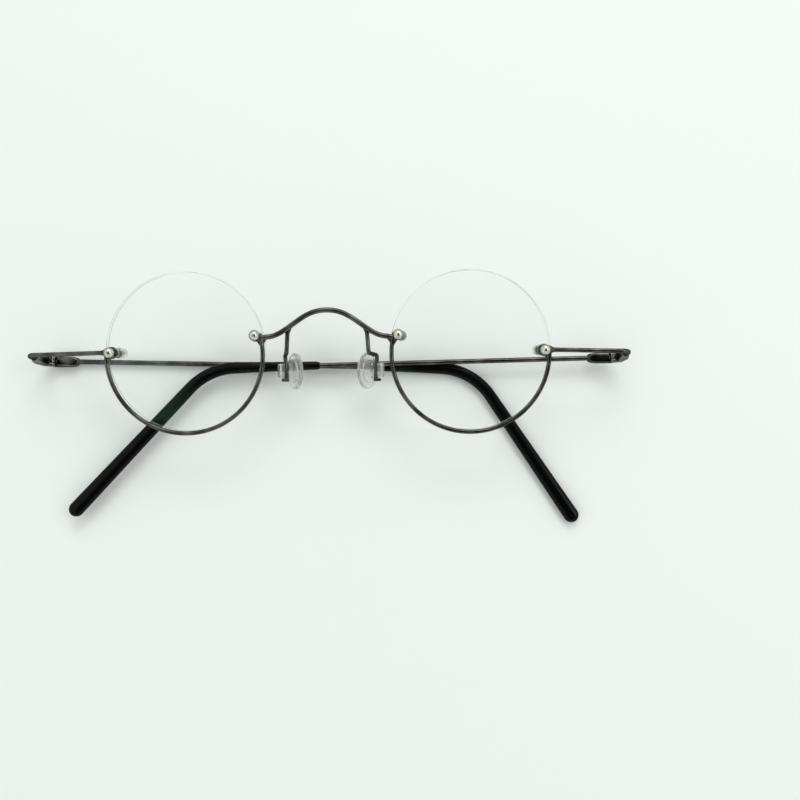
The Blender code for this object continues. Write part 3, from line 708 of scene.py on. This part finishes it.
class Plan:
    """Where everything goes, from the sizes."""

    def __init__(self, context):
        self.size = context.scene.eyeglass_sizes
        size = self.size
        self.lens_radius = size.lens_diameter / 2
        self.rim_radius = self.lens_radius - RIM_INSET
        self.hole_radius = SCREW_DIAMETER / 2 + RADIAL_PLAY
        self.bushing_radius = self.hole_radius + BUSHING_WALL
        self.hinge_height = 2 * CHEEK + 2 * HINGE_PLAY + KNUCKLE
        self.hinge_offset = HINGE_WIDTH / 2
        self.eyelet_back = CONTACT + WASHER_THICKNESS + CONTACT
        self.eyelet_front = self.eyelet_back + EYELET_THICKNESS
        self.rear_washer = -size.lens_thickness - CONTACT
        self.nut_front = self.rear_washer - WASHER_THICKNESS - CONTACT
        self.cap_front = self.nut_front - NUT_THICKNESS - CONTACT
        self.screw_end = self.cap_front - CAP_BORE + CONTACT
        step = size.tip_thickness / 2 + size.temple_wire / 2 + TEMPLE_GAP
        roll = -math.asin(step / PIN_SPACING)
        turn = Matrix.Rotation(roll, 4, "Y") @ Matrix.Rotation(FRONT_TILT, 4, "X")
        pin = joint_place("left_temple_hinge")
        self.front = Matrix.Translation(pin - turn @ self.pin_point("left")) @ turn

    def rim_centre(self, side):
        return X * SIDES[side] * LENS_SPACING / 2

    def sag(self, radius):
        return LENS_CURVE - math.sqrt(LENS_CURVE**2 - radius**2)

    def lens_apex(self, side):
        behind_wire = self.size.rim_wire / 2 + SOLDER_GAP
        return self.rim_centre(side) + Y * LENS_RAISE + Z * (self.sag(self.rim_radius) - behind_wire)

    def hole_frame(self, side, end):
        """A frame on the lens's front at a screw hole, with Z along the screw to the front."""
        outward = SIDES[side] if end == "temporal" else -SIDES[side]
        angle = HOLE_ANGLE[end]
        along = Vector((outward * math.cos(angle), math.sin(angle), 0.0))
        lean = math.asin((self.lens_radius - HOLE_INSET) / LENS_CURVE)
        normal = along * math.sin(lean) + Z * math.cos(lean)
        point = self.lens_apex(side) - Z * LENS_CURVE + normal * LENS_CURVE
        return Matrix.Translation(point) @ normal.to_track_quat("Z", "Y").to_matrix().to_4x4()

    def rim_angle(self, side, end):
        point = self.hole_frame(side, end).translation - self.rim_centre(side)
        return math.atan2(point.y, point.x * SIDES[side])

    def on_rim(self, side, angle, radius):
        return self.rim_centre(side) + radius * Vector((SIDES[side] * math.cos(angle), math.sin(angle), 0.0))

    def bridge_path(self, steps=64):
        """From wire to wire: short stubs square to the rims, and between them a bell-shaped arch."""
        angle = math.pi - BRIDGE_JOINT_ANGLE
        seat = self.rim_radius + self.size.rim_wire / 2 + SOLDER_GAP
        feet = [self.on_rim(side, angle, seat + BRIDGE_STUB) for side in SIDES]
        ends = [self.on_rim(side, angle, self.rim_radius) for side in SIDES]
        half = feet[1].x
        arch = []
        for i in range(steps + 1):
            share = 2 * i / steps - 1
            lift = (1 + math.cos(math.pi * abs(share) ** BRIDGE_FULLNESS)) / 2
            arch.append(Vector((half * share, feet[1].y + self.size.bridge_rise * lift, 0.0)))
        return [ends[0], *arch, ends[1]]

    def pad_axis(self, side):
        return Vector((SIDES[side] * PAD_BAR_REACH[side], -PAD_CENTRE_DROP, -PAD_BAR_DEPTH))

    def corner_point(self, side):
        start = self.on_rim(side, self.rim_angle(side, "temporal"), self.rim_radius)
        reach = SIDES[side] * (PIN_SPACING / 2 + self.hinge_offset)
        return Vector((reach, start.y - ENDPIECE_FALL, 0.0))

    def back(self):
        """Straight down to the table, as the front's frame sees it."""
        return Vector((0.0, -math.sin(FRONT_TILT), -math.cos(FRONT_TILT)))

    def pin_point(self, side):
        return self.corner_point(side) + self.back() * HINGE_DEPTH - X * SIDES[side] * self.hinge_offset

    def pin_frame(self, side):
        """The front's frame at a pin, turned so that its Z is square to the folded temples."""
        return self.front @ Matrix.Translation(self.pin_point(side)) @ Matrix.Rotation(-FRONT_TILT, 4, "X")

    def temple_frame(self, side):
        return Matrix.Translation(self.front @ self.pin_point(side))

    def temple_line(self, side):
        """Where the temple's wire starts in its leaf, and the way that its straight part runs."""
        inward = -X * SIDES[side]
        toward = inward * math.cos(TEMPLE_DROOP) - Y * math.sin(TEMPLE_DROOP)
        mouth = inward * LEAF_LENGTH - Z * self.hinge_offset
        return mouth - toward * (SOCKET_DEPTH - CONTACT), toward

    def temple_corner(self, side):
        start, toward = self.temple_line(side)
        run = TEMPLE_BEND_AT[side] - LEAF_LENGTH + SOCKET_DEPTH
        turn = TEMPLE_DROP_ANGLE[side] + TEMPLE_DROOP
        drop = -X * SIDES[side] * math.cos(turn) - Y * math.sin(turn)
        return start + toward * run, drop

    def temple_bend(self, side):
        corner, drop = self.temple_corner(side)
        start = self.temple_line(side)[0]
        return filleted(start, corner, corner + drop, TEMPLE_BEND_RADIUS, BEND_STEPS)


def filleted(before, corner, after, radius, steps):
    """The arc that rounds a path's corner, as points."""
    arriving = (corner - before).normalized()
    leaving = (after - corner).normalized()
    turn = arriving.angle(leaving)
    start = corner - arriving * radius * math.tan(turn / 2)
    axis = arriving.cross(leaving).normalized()
    centre = start + axis.cross(arriving) * radius
    turns = [Quaternion(axis, turn * i / steps) for i in range(steps + 1)]
    return [centre + rotation @ (start - centre) for rotation in turns]


# Pieces of the front


def make_lens(plan, side):
    """A round slice of a ball, its edge bevelled a little and drilled for two screws."""
    rings = 24
    radius = plan.lens_radius
    thick = plan.size.lens_thickness
    rear = LENS_CURVE - thick
    reach = radius - LENS_BEVEL
    radii = [reach * i / rings for i in range(rings + 1)]
    face = [(r, -plan.sag(r)) for r in radii]
    back = [(r, math.sqrt(rear**2 - r**2) - LENS_CURVE) for r in reversed(radii)]
    front_corner = -plan.sag(radius) - LENS_BEVEL
    back_corner = math.sqrt(rear**2 - radius**2) - LENS_CURVE + LENS_BEVEL
    edge = [(radius, front_corner + (back_corner - front_corner) * i / 4) for i in range(5)]
    apex = Matrix.Translation(plan.lens_apex(side))
    blank = turned(face + edge + back, LENS_SIDES, apex)
    holes = []
    for end in ENDS:
        hole = plan.hole_frame(side, end)
        holes.append(rod(plan.bushing_radius + RADIAL_PLAY, -thick - OVERCUT, OVERCUT, hole))
    lens = carved(blank, holes)
    middle = plan.lens_apex(side)
    for side_face in lens.faces:
        centre = side_face.calc_center_median() - middle
        out = centre.xy.length - radius
        side_face.material_index = 1 if out > -EDGE_BAND / 4 else 2 if out > -EDGE_BAND else 0
    lens.transform(plan.front)
    name = side + "_lens"
    piece(name + "_glass", lens, "front", "lens", name, ("lens", "lens_edge", "lens_bevel"))


def make_rim(plan, side):
    """The wire along the lower half of a lens, and the eyelets for the lens screws at its ends."""
    size = plan.size
    overrun = RIM_OVERRUN / plan.rim_radius
    first = plan.rim_angle(side, "temporal") + overrun
    last = plan.rim_angle(side, "nasal") - 2 * math.pi - overrun
    angles = [first + (last - first) * i / RIM_STEPS for i in range(RIM_STEPS + 1)]
    path = [plan.on_rim(side, angle, plan.rim_radius) for angle in angles]
    shapes = [wire(path, size.rim_wire, Z)]
    web = EYELET_WEB / plan.rim_radius
    for end, angle in zip(ENDS, (last + web, first - web)):
        hole = plan.hole_frame(side, end)
        middle = hole @ Vector((0.0, 0.0, (plan.eyelet_back + plan.eyelet_front) / 2))
        shapes.append(wire([middle, plan.on_rim(side, angle, plan.rim_radius)], EYELET_THICKNESS, Z))
        bevel = EYELET_THICKNESS / 3
        ring = rounded_ring(plan.hole_radius, EYELET_DIAMETER / 2, plan.eyelet_back, plan.eyelet_front, bevel)
        shapes.append(turned(ring, ROUND_SIDES, hole))
    cleared = []
    for shape in shapes:
        clears = []
        for end in ENDS:
            hole = plan.hole_frame(side, end)
            clears.append(rod(WASHER_DIAMETER / 2 + RADIAL_PLAY, -OVERCUT, plan.eyelet_back, hole))
            clears.append(rod(plan.hole_radius, -OVERCUT, plan.eyelet_front + OVERCUT, hole))
        cleared.append(carved(shape, clears))
    rim = fused(cleared)
    rim.transform(plan.front)
    piece(side + "_rim_wire", rim, "front", "gunmetal", side + "_rim")


def make_bridge(plan):
    """The arched wire, with solder in the corners below its joints to the rims."""
    path = spaced(plan.bridge_path(), 0.15 * MM)
    shapes = [wire(path, plan.size.bridge_wire, Z)]
    angle = math.pi - BRIDGE_JOINT_ANGLE + SOLDER_REACH / plan.rim_radius
    for side, walk in (("left", path), ("right", path[::-1])):
        above = next(point for point in walk if (point - walk[0]).length > SOLDER_REACH)
        below = plan.on_rim(side, angle, plan.rim_radius)
        shapes.append(wire([above, below], SOLDER_DEPTH, Z))
    bridge = fused(shapes)
    bridge.transform(plan.front)
    piece("bridge_wire", bridge, "front", "gunmetal", "bridge")


def make_pad_arm(plan, side):
    """A wire from the back of the bridge, down and back to the upright bar with a nub at its foot."""
    size = plan.size
    out = X * SIDES[side]
    reach = SIDES[side] * PAD_ARM_SPACING / 2
    root = min(plan.bridge_path(), key=lambda point: abs(point.x - reach))
    start = root - Z * (size.bridge_wire / 2 + size.pad_wire / 2 - SOLDER_GAP)
    axis = plan.pad_axis(side)
    top = axis + Y * (LUG_HEIGHT / 2 + PAD_BAR_NECK)
    foot = axis - Y * (LUG_HEIGHT / 2 + CONTACT + PAD_NUB)
    elbow = Vector((start.x, top.y + PAD_ARM_ELBOW, start.z)) + out * PAD_ARM_LEAN
    knee = top + Y * PAD_ARM_LIFT + out * PAD_ARM_BULGE
    first = filleted(start, elbow, knee, PAD_ARM_TURN, 10)
    second = filleted(elbow, knee, foot, PAD_ARM_TURN, 10)
    path = spaced([start, *first, *second, foot], 0.2 * MM)
    nub_at = foot + Y * PAD_NUB / 2
    nub = wire(spaced([nub_at, nub_at + out * PAD_NUB_REACH], 0.1 * MM), PAD_NUB, Z)
    arm = fused([wire(path, size.pad_wire, Z, (FLARE, 0.0)), nub])
    arm.transform(plan.front)
    piece(side + "_pad_arm_wire", arm, "front", "gunmetal", side + "_pad_arm")


def make_nose_pad(plan, side):
    """A domed oval pad on a lug that wraps the bar. The pad faces the nose, splayed to the back."""
    size = plan.size
    nose = -SIDES[side]
    facing = Vector((nose * math.cos(PAD_SPLAY), 0.0, -math.sin(PAD_SPLAY)))
    forward = Vector((nose * math.sin(PAD_SPLAY), 0.0, math.cos(PAD_SPLAY)))
    centre = facing * PAD_STANDOFF + forward * PAD_FORWARD
    half = size.pad_thickness / 2
    layers = 12
    points = []
    outlines = []
    for i in range(layers + 1):
        turn = math.pi * (i / layers - 0.5) * 0.94
        points.append(centre + facing * half * math.sin(turn))
        share = math.cos(turn) ** 0.45
        outlines.append(oval(size.pad_width * share, size.pad_height * share, 2.1, 48))
    pad = swept(points, outlines, Y, [facing] * len(points))
    inner = []
    for share in (1.0, 1.0, 0.9):
        inner.append(oval(size.pad_width * PAD_INNER * share, size.pad_height * PAD_INNER * share, 2.4, 48))
    rise = -facing * (half + PAD_INNER_RISE)
    inner_path = [centre, centre + rise * 0.9, centre + rise]
    boss = swept(inner_path, inner, Y, [-facing] * 3)
    bore = size.pad_wire / 2 + RADIAL_PLAY
    lug_width = 2 * (bore + LUG_WALL)
    outline = oval(lug_width, LUG_HEIGHT, 5.0, 32)
    lug_path = spaced([-facing * LUG_REACH, facing * PAD_STANDOFF], 0.3 * MM)
    lug = swept(lug_path, [outline] * len(lug_path), Y)
    plain = [pad, boss, lug]
    open_way = [Z * 0.0, Z * LUG_REACH * 2]
    shapes = []
    for shape in plain:
        slot = swept(open_way, [oval(2 * bore, 3 * size.pad_height, 20.0)] * 2, Y)
        shapes.append(carved(shape, [rod(bore, -size.pad_height, size.pad_height, UPRIGHT), slot]))
    whole = fused(shapes, 0.09 * MM, 3, 0.0)
    whole.transform(plan.front @ Matrix.Translation(plan.pad_axis(side)))
    piece(side + "_nose_pad_moulding", whole, side + "_pad", "pad_silicone", side + "_nose_pad")


def make_endpiece(plan, side):
    """The wire from a rim to its hinge, bent back at the corner."""
    size = plan.size
    angle = plan.rim_angle(side, "temporal")
    start = plan.on_rim(side, angle, plan.rim_radius)
    corner = plan.corner_point(side)
    end = corner + plan.back() * (HINGE_DEPTH - FORK_LENGTH + SOCKET_DEPTH - CONTACT)
    bend = filleted(start, corner, end, CORNER_RADIUS, BEND_STEPS)
    path = spaced([start, *bend, end], 0.25 * MM)
    reach = (FLARE_LENGTH, ENDPIECE_COLLAR_LENGTH)
    endpiece = fused([wire(path, size.endpiece_wire, Y, (FLARE, ENDPIECE_COLLAR), reach, 1.0)])
    endpiece.transform(plan.front)
    piece(side + "_endpiece_wire", endpiece, "front", "gunmetal", side + "_endpiece")


# Lens screws and what they clamp


def screw_shape(plan):
    """A ball head with a flat seat on a plain shank."""
    seat = plan.eyelet_front + CONTACT
    radius = plan.size.ball_diameter / 2
    flat = math.asin(BALL_SEAT / plan.size.ball_diameter)
    middle = seat + radius * math.cos(flat)
    steps = 20
    turns = [flat + (math.pi - flat) * i / steps for i in range(steps)]
    ball = [(radius * math.sin(t), middle - radius * math.cos(t)) for t in turns]
    shank = SCREW_DIAMETER / 2
    start = [(0.0, plan.screw_end), (shank, plan.screw_end), (shank, seat)]
    return turned([*start, *ball, (0.0, middle + radius)])


def cap_shape(plan):
    """A bullet-shaped cap with a blind bore for the screw's end."""
    outer = plan.size.cap_diameter / 2
    end = plan.cap_front - plan.size.cap_length
    steps = 10
    turns = [math.pi / 2 * i / steps for i in range(steps)]
    nose = [(outer * math.cos(t), end + CAP_NOSE - CAP_NOSE * math.sin(t)) for t in turns]
    bore_end = plan.cap_front - CAP_BORE
    bore = [(0.0, bore_end), (plan.hole_radius, bore_end), (plan.hole_radius, plan.cap_front)]
    return turned([*bore, (outer, plan.cap_front), *nose, (0.0, end)])


def nut_shape(plan):
    """A hexagonal nut with its corners turned down."""
    low = plan.nut_front - NUT_THICKNESS
    high = plan.nut_front
    corner = NUT_WIDTH / 2 / math.cos(math.pi / 6)
    chamfer = corner - NUT_WIDTH / 2
    flats = [(corner * math.cos(math.pi / 3 * i), corner * math.sin(math.pi / 3 * i)) for i in range(6)]
    hexagon = skinned([[Vector((a, b, height)) for a, b in flats] for height in (low, high)])
    inside = NUT_WIDTH / 2
    profile = [(0.0, low), (inside, low), (corner, low + chamfer), (corner, high - chamfer), (inside, high)]
    blank = carved(hexagon, [turned([*profile, (0.0, high)])], "INTERSECT")
    return carved(blank, [rod(plan.hole_radius, low - OVERCUT, high + OVERCUT, Matrix.Identity(4))])


def make_lens_screws(plan):
    """At each of the four lens holes: screw, front washer, bushing, rear washer, nut and cap."""
    hole = plan.hole_radius
    wide = WASHER_DIAMETER / 2
    rear = plan.rear_washer - WASHER_THICKNESS
    bevel = WASHER_THICKNESS / 3
    thick = plan.size.lens_thickness
    shapes = {
        "screw": (lambda: screw_shape(plan), "silver"),
        "front_washer": (
            lambda: turned(rounded_ring(hole, wide, CONTACT, CONTACT + WASHER_THICKNESS, bevel)),
            "clear_plastic",
        ),
        "bushing": (
            lambda: turned(rounded_ring(hole, plan.bushing_radius, CONTACT - thick, -CONTACT, bevel)),
            "clear_plastic",
        ),
        "rear_washer": (lambda: turned(rounded_ring(hole, wide, rear, plan.rear_washer, bevel)), "silver"),
        "nut": (lambda: nut_shape(plan), "silver"),
        "cap": (lambda: cap_shape(plan), "clear_plastic"),
    }
    for side in SIDES:
        for end in ENDS:
            place = plan.front @ plan.hole_frame(side, end)
            for kind, (make, slot) in shapes.items():
                node = "_".join((side, end, kind))
                shape = make()
                shape.transform(place)
                piece(node + "_part", shape, "front", slot, node)


# Hinges


def hinge_block(plan, outward, along, length, wire_diameter, gaps, knuckles):
    """A teardrop block beside the pin with round knuckles on the pin. It is cut away at the gaps."""
    mouth = wire_diameter * 1.04
    steps = 28
    points = []
    outlines = []
    for i in range(steps + 1):
        share = i / steps
        share = share * (2 - share)
        points.append(outward * plan.hinge_offset + along * (HINGE_PLAY + (length - HINGE_PLAY) * share))
        past = max(0.0, (share - HINGE_SHOULDER_AT) / (1 - HINGE_SHOULDER_AT))
        slim = 1 - math.sqrt(1 - min(1.0, past) ** 2)
        wide = HINGE_WIDTH + (mouth - HINGE_WIDTH) * slim
        high = plan.hinge_height + (mouth - plan.hinge_height) * slim
        outlines.append(oval(wide, high, 5.0 - 3.0 * slim, 40))
    radius = HINGE_WIDTH / 2
    upright = UPRIGHT
    cuts = [rod(radius + HINGE_PLAY, low, high, upright) for low, high in gaps]
    bore = PIN_DIAMETER / 2 + RADIAL_PLAY
    cuts.append(rod(bore, -plan.hinge_height, plan.hinge_height, upright))
    shapes = [carved(swept(points, outlines, Y), cuts)]
    for low, high in knuckles:
        shapes.append(turned(rounded_ring(bore, radius, low, high, 0.08 * MM), ROUND_SIDES, upright))
    return fused(shapes, 0.08 * MM, 3, 0.0)


def make_hinge(plan, side):
    """The front's fork, the temple's leaf and the screw that is their pin."""
    outward = X * SIDES[side]
    inner = KNUCKLE / 2
    slot = inner + HINGE_PLAY
    outer = plan.hinge_height / 2
    past = outer + OVERCUT
    edge = outer - CONTACT
    cheeks = [(-edge, -slot), (slot, edge)]
    fork = hinge_block(
        plan, outward, Z, FORK_LENGTH, plan.size.endpiece_wire, [(-slot, slot)], cheeks
    )
    fork.transform(plan.pin_frame(side))
    # The fork's second material is the paler gunmetal, a painted sheen
    piece(side + "_hinge_fork_block", fork, "front", "gunmetal", side + "_hinge_fork", ["hinge_fork"])
    leaf = hinge_block(
        plan, -Z, -outward, LEAF_LENGTH, plan.size.temple_wire, [(-past, -inner), (inner, past)], [(-inner, inner)]
    )
    leaf.transform(plan.temple_frame(side))
    piece(side + "_hinge_leaf_block", leaf, side + "_temple", "gunmetal", side + "_hinge_leaf")
    shank = PIN_DIAMETER / 2
    head = PIN_HEAD_DIAMETER / 2
    seat = outer + CONTACT
    top = seat + PIN_HEAD
    turns = [math.pi / 2 * i / 5 for i in range(6)]
    dome = [(head * math.cos(t), seat + PIN_HEAD * (0.4 + 0.6 * math.sin(t))) for t in turns[:-1]]
    profile = [(0.0, -outer), (shank, -outer), (shank, seat), (head, seat), *dome, (0.0, top)]
    bar = PIN_SLOT / 2
    groove = skinned([[Vector((x, y, z)) for x, y in ((bar, head), (-bar, head), (-bar, -head), (bar, -head))] for z in (top - PIN_SLOT, top + OVERCUT)])
    groove.transform(Matrix.Rotation(0.6, 4, "Z") @ Matrix.Diagonal((1.0, 1.5, 1.0, 1.0)))
    screw = carved(turned(profile), [groove])
    screw.transform(plan.pin_frame(side) @ UPRIGHT)
    piece(side + "_hinge_screw_pin", screw, "front", "silver", side + "_hinge_screw")


# Temples


def make_temple_wire(plan, side):
    start = plan.temple_line(side)[0]
    corner, drop = plan.temple_corner(side)
    end = corner + drop * (TEMPLE_DROP_LENGTH[side] - TIP_WIRE_END)
    path = spaced([start, *plan.temple_bend(side), end], 1.0 * MM)
    temple = wire(path, plan.size.temple_wire, Z)
    temple.transform(plan.temple_frame(side))
    piece(side + "_temple_rod", temple, side + "_temple", "gunmetal", side + "_temple_wire")


def make_tip(plan, side):
    """The plastic sleeve: it widens from its mouth to its round end, and the wire goes into its mouth."""
    size = plan.size
    toward = plan.temple_line(side)[1]
    corner, drop = plan.temple_corner(side)
    mouth = corner - toward * TIP_BEFORE_BEND[side]
    bend = plan.temple_bend(side)
    length = TEMPLE_DROP_LENGTH[side]
    end_radius = size.tip_width / 2
    last = corner + drop * (length - end_radius)
    path = spaced([mouth, *bend, last], 0.8 * MM)
    aims = tangents(path)
    travelled = [0.0]
    for a, b in zip(path, path[1:]):
        travelled.append(travelled[-1] + (b - a).length)
    to_bend = (bend[0] - mouth).length
    past_bend = travelled[-1] - (last - bend[-1]).length
    hole = size.temple_wire + 2 * RADIAL_PLAY
    sides = 40
    points = [mouth + toward * 1.2 * MM, mouth]
    outlines = [oval(hole, hole, 2.0, sides)] * 2
    ways = [toward, toward]
    for point, aim, run in zip(path, aims, travelled):
        if run < to_bend:
            share = run / to_bend
            wide = TIP_START_WIDTH + (TIP_BEND_WIDTH - TIP_START_WIDTH) * share**1.5
        elif run < past_bend:
            wide = TIP_BEND_WIDTH
        else:
            share = (run - past_bend) / (travelled[-1] - past_bend)
            wide = TIP_BEND_WIDTH + (size.tip_width - TIP_BEND_WIDTH) * share
        lip = 1 - (1 - TIP_MOUTH_TAPER) * math.exp(-run / (0.35 * MM))
        points.append(point)
        outlines.append(oval(wide * lip, size.tip_thickness * lip, 2.3, sides))
        ways.append(aim)
    steps = 10
    for i in range(1, steps + 1):
        turn = 86.0 * DEGREE * i / steps
        points.append(last + drop * end_radius * math.sin(turn))
        shrink = math.cos(turn)
        outlines.append(oval(size.tip_width * shrink, size.tip_thickness * shrink**0.6, 2.3, sides))
        ways.append(drop)
    tip = swept(points, outlines, Z, ways)
    tip.transform(plan.temple_frame(side))
    piece(side + "_temple_tip_sleeve", tip, side + "_temple", "black_plastic", side + "_temple_tip")


# The stage


def aimed(place, target):
    return (Vector(target) - Vector(place)).to_track_quat("-Z", "Y").to_euler()


def make_lamp(name, place, target, size, strength):
    """A soft square lamp. Its strength is how bright its face looks, with white as 1."""
    lamp = bpy.data.lights.new(name, "AREA")
    lamp.shape = "RECTANGLE"
    lamp.size, lamp.size_y = size
    lamp.energy = strength * math.pi * size[0] * size[1]
    held = bpy.data.objects.new(name, lamp)
    held.location = place
    held.rotation_euler = aimed(place, target)
    bpy.context.scene.collection.objects.link(held)


def make_sky(tree):
    """A pale room all round, with one dim patch high up on the side of the temple tips."""
    sky = tree.nodes["Background"]
    sky.inputs["Color"].default_value = (0.98, 1.0, 0.985, 1.0)
    way = tree.nodes.new("ShaderNodeTexCoord").outputs["Generated"]
    aim = tree.nodes.new("ShaderNodeVectorMath")
    aim.operation = "DOT_PRODUCT"
    aim.inputs[1].default_value = DIM_WAY
    dim = tree.nodes.new("ShaderNodeMapRange")
    dim.inputs["From Min"].default_value = math.cos(DIM_EDGE)
    dim.inputs["From Max"].default_value = math.cos(DIM_HEART)
    dim.inputs["To Min"].default_value = ROOM_LIGHT
    dim.inputs["To Max"].default_value = DIM_LIGHT
    tree.links.new(way, aim.inputs[0])
    tree.links.new(aim.outputs["Value"], dim.inputs["Value"])
    tree.links.new(dim.outputs[0], sky.inputs["Strength"])


def make_stage():
    scene = bpy.context.scene
    floor = bmesh.new()
    bmesh.ops.create_grid(floor, x_segments=2, y_segments=2, size=2.5)
    mesh = bpy.data.meshes.new("table_top")
    floor.to_mesh(mesh)
    floor.free()
    mesh.materials.append(material("table"))
    table = bpy.data.objects.new("table_top", mesh)
    scene.collection.objects.link(table)
    world = bpy.data.worlds.new("soft_room")
    world.use_nodes = True
    make_sky(world.node_tree)
    scene.world = world
    make_lamp("window", (0.15, 1.00, 0.85), (0.0, 0.0, 0.0), (0.90, 0.50), 3.6)
    make_lamp("side_window", (0.90, 0.10, 1.00), (0.03, 0.0, 0.0), (0.40, 0.50), 3.2)
    camera = bpy.data.cameras.new("camera")
    camera.lens = CAMERA_LENS
    camera.sensor_width = SENSOR_WIDTH
    camera.clip_start = 0.005
    held = bpy.data.objects.new("camera", camera)
    held.location = CAMERA_PLACE
    held.rotation_euler = CAMERA_TURN
    scene.collection.objects.link(held)
    scene.camera = held
    scene.view_settings.view_transform = "Standard"


# Operators


class EYEGLASSES_OT_stage(Operator):
    """Lay the table, set the lamps and place the camera"""

    bl_idname = "eyeglasses.stage"
    bl_label = "Table, Lamps and Camera"

    def execute(self, context):
        make_stage()
        return {"FINISHED"}


class EYEGLASSES_OT_lenses(Operator):
    """Make the two round lenses with their screw holes"""

    bl_idname = "eyeglasses.lenses"
    bl_label = "Lenses"

    def execute(self, context):
        plan = Plan(context)
        for side in SIDES:
            make_lens(plan, side)
        return {"FINISHED"}


class EYEGLASSES_OT_rims(Operator):
    """Make the two half rims with their eyelets"""

    bl_idname = "eyeglasses.rims"
    bl_label = "Half Rims"

    def execute(self, context):
        plan = Plan(context)
        for side in SIDES:
            make_rim(plan, side)
        return {"FINISHED"}


class EYEGLASSES_OT_bridge(Operator):
    """Make the arched bridge"""

    bl_idname = "eyeglasses.bridge"
    bl_label = "Bridge"

    def execute(self, context):
        make_bridge(Plan(context))
        return {"FINISHED"}


class EYEGLASSES_OT_pad_arms(Operator):
    """Make the two arms that carry the nose pads"""

    bl_idname = "eyeglasses.pad_arms"
    bl_label = "Pad Arms"

    def execute(self, context):
        plan = Plan(context)
        for side in SIDES:
            make_pad_arm(plan, side)
        return {"FINISHED"}


class EYEGLASSES_OT_nose_pads(Operator):
    """Make the two clear nose pads"""

    bl_idname = "eyeglasses.nose_pads"
    bl_label = "Nose Pads"

    def execute(self, context):
        plan = Plan(context)
        for side in SIDES:
            make_nose_pad(plan, side)
        return {"FINISHED"}


class EYEGLASSES_OT_endpieces(Operator):
    """Make the two wires from the rims to the hinges"""

    bl_idname = "eyeglasses.endpieces"
    bl_label = "Endpieces"

    def execute(self, context):
        plan = Plan(context)
        for side in SIDES:
            make_endpiece(plan, side)
        return {"FINISHED"}


class EYEGLASSES_OT_lens_screws(Operator):
    """Make the four lens screws with their washers, bushings, nuts and caps"""

    bl_idname = "eyeglasses.lens_screws"
    bl_label = "Lens Screws"

    def execute(self, context):
        make_lens_screws(Plan(context))
        return {"FINISHED"}


class EYEGLASSES_OT_hinges(Operator):
    """Make the forks, leaves and screws of the two hinges"""

    bl_idname = "eyeglasses.hinges"
    bl_label = "Hinges"

    def execute(self, context):
        plan = Plan(context)
        for side in SIDES:
            make_hinge(plan, side)
        return {"FINISHED"}


class EYEGLASSES_OT_temples(Operator):
    """Make the two temple wires"""

    bl_idname = "eyeglasses.temples"
    bl_label = "Temples"

    def execute(self, context):
        plan = Plan(context)
        for side in SIDES:
            make_temple_wire(plan, side)
        return {"FINISHED"}


class EYEGLASSES_OT_tips(Operator):
    """Make the two black tips"""

    bl_idname = "eyeglasses.tips"
    bl_label = "Temple Tips"

    def execute(self, context):
        plan = Plan(context)
        for side in SIDES:
            make_tip(plan, side)
        return {"FINISHED"}


OPERATORS = (
    EYEGLASSES_OT_stage,
    EYEGLASSES_OT_lenses,
    EYEGLASSES_OT_rims,
    EYEGLASSES_OT_bridge,
    EYEGLASSES_OT_pad_arms,
    EYEGLASSES_OT_nose_pads,
    EYEGLASSES_OT_endpieces,
    EYEGLASSES_OT_lens_screws,
    EYEGLASSES_OT_hinges,
    EYEGLASSES_OT_temples,
    EYEGLASSES_OT_tips,
)


class EYEGLASSES_PT_maker(Panel):
    """Lists the pieces of the glasses, their sizes and their colours"""

    bl_label = "Eyeglasses"
    bl_idname = "EYEGLASSES_PT_maker"
    bl_space_type = "VIEW_3D"
    bl_region_type = "UI"
    bl_category = "Eyeglasses"

    def draw(self, context):
        column = self.layout.column(align=True)
        for operator in OPERATORS:
            column.operator(operator.bl_idname)
        for group in (context.scene.eyeglass_sizes, context.scene.eyeglass_colours):
            column.separator()
            for name in type(group).__annotations__:
                column.prop(group, name)


CLASSES = (EyeglassSizes, EyeglassColours, *OPERATORS, EYEGLASSES_PT_maker)


def register():
    for kind in CLASSES:
        bpy.utils.register_class(kind)
    bpy.types.Scene.eyeglass_sizes = PointerProperty(type=EyeglassSizes)
    bpy.types.Scene.eyeglass_colours = PointerProperty(type=EyeglassColours)


def unregister():
    del bpy.types.Scene.eyeglass_colours
    del bpy.types.Scene.eyeglass_sizes
    for kind in reversed(CLASSES):
        bpy.utils.unregister_class(kind)


def main():
    register()
    for operator in OPERATORS:
        group, name = operator.bl_idname.split(".")
        getattr(getattr(bpy.ops, group), name)()


if __name__ == "__main__":
    main()
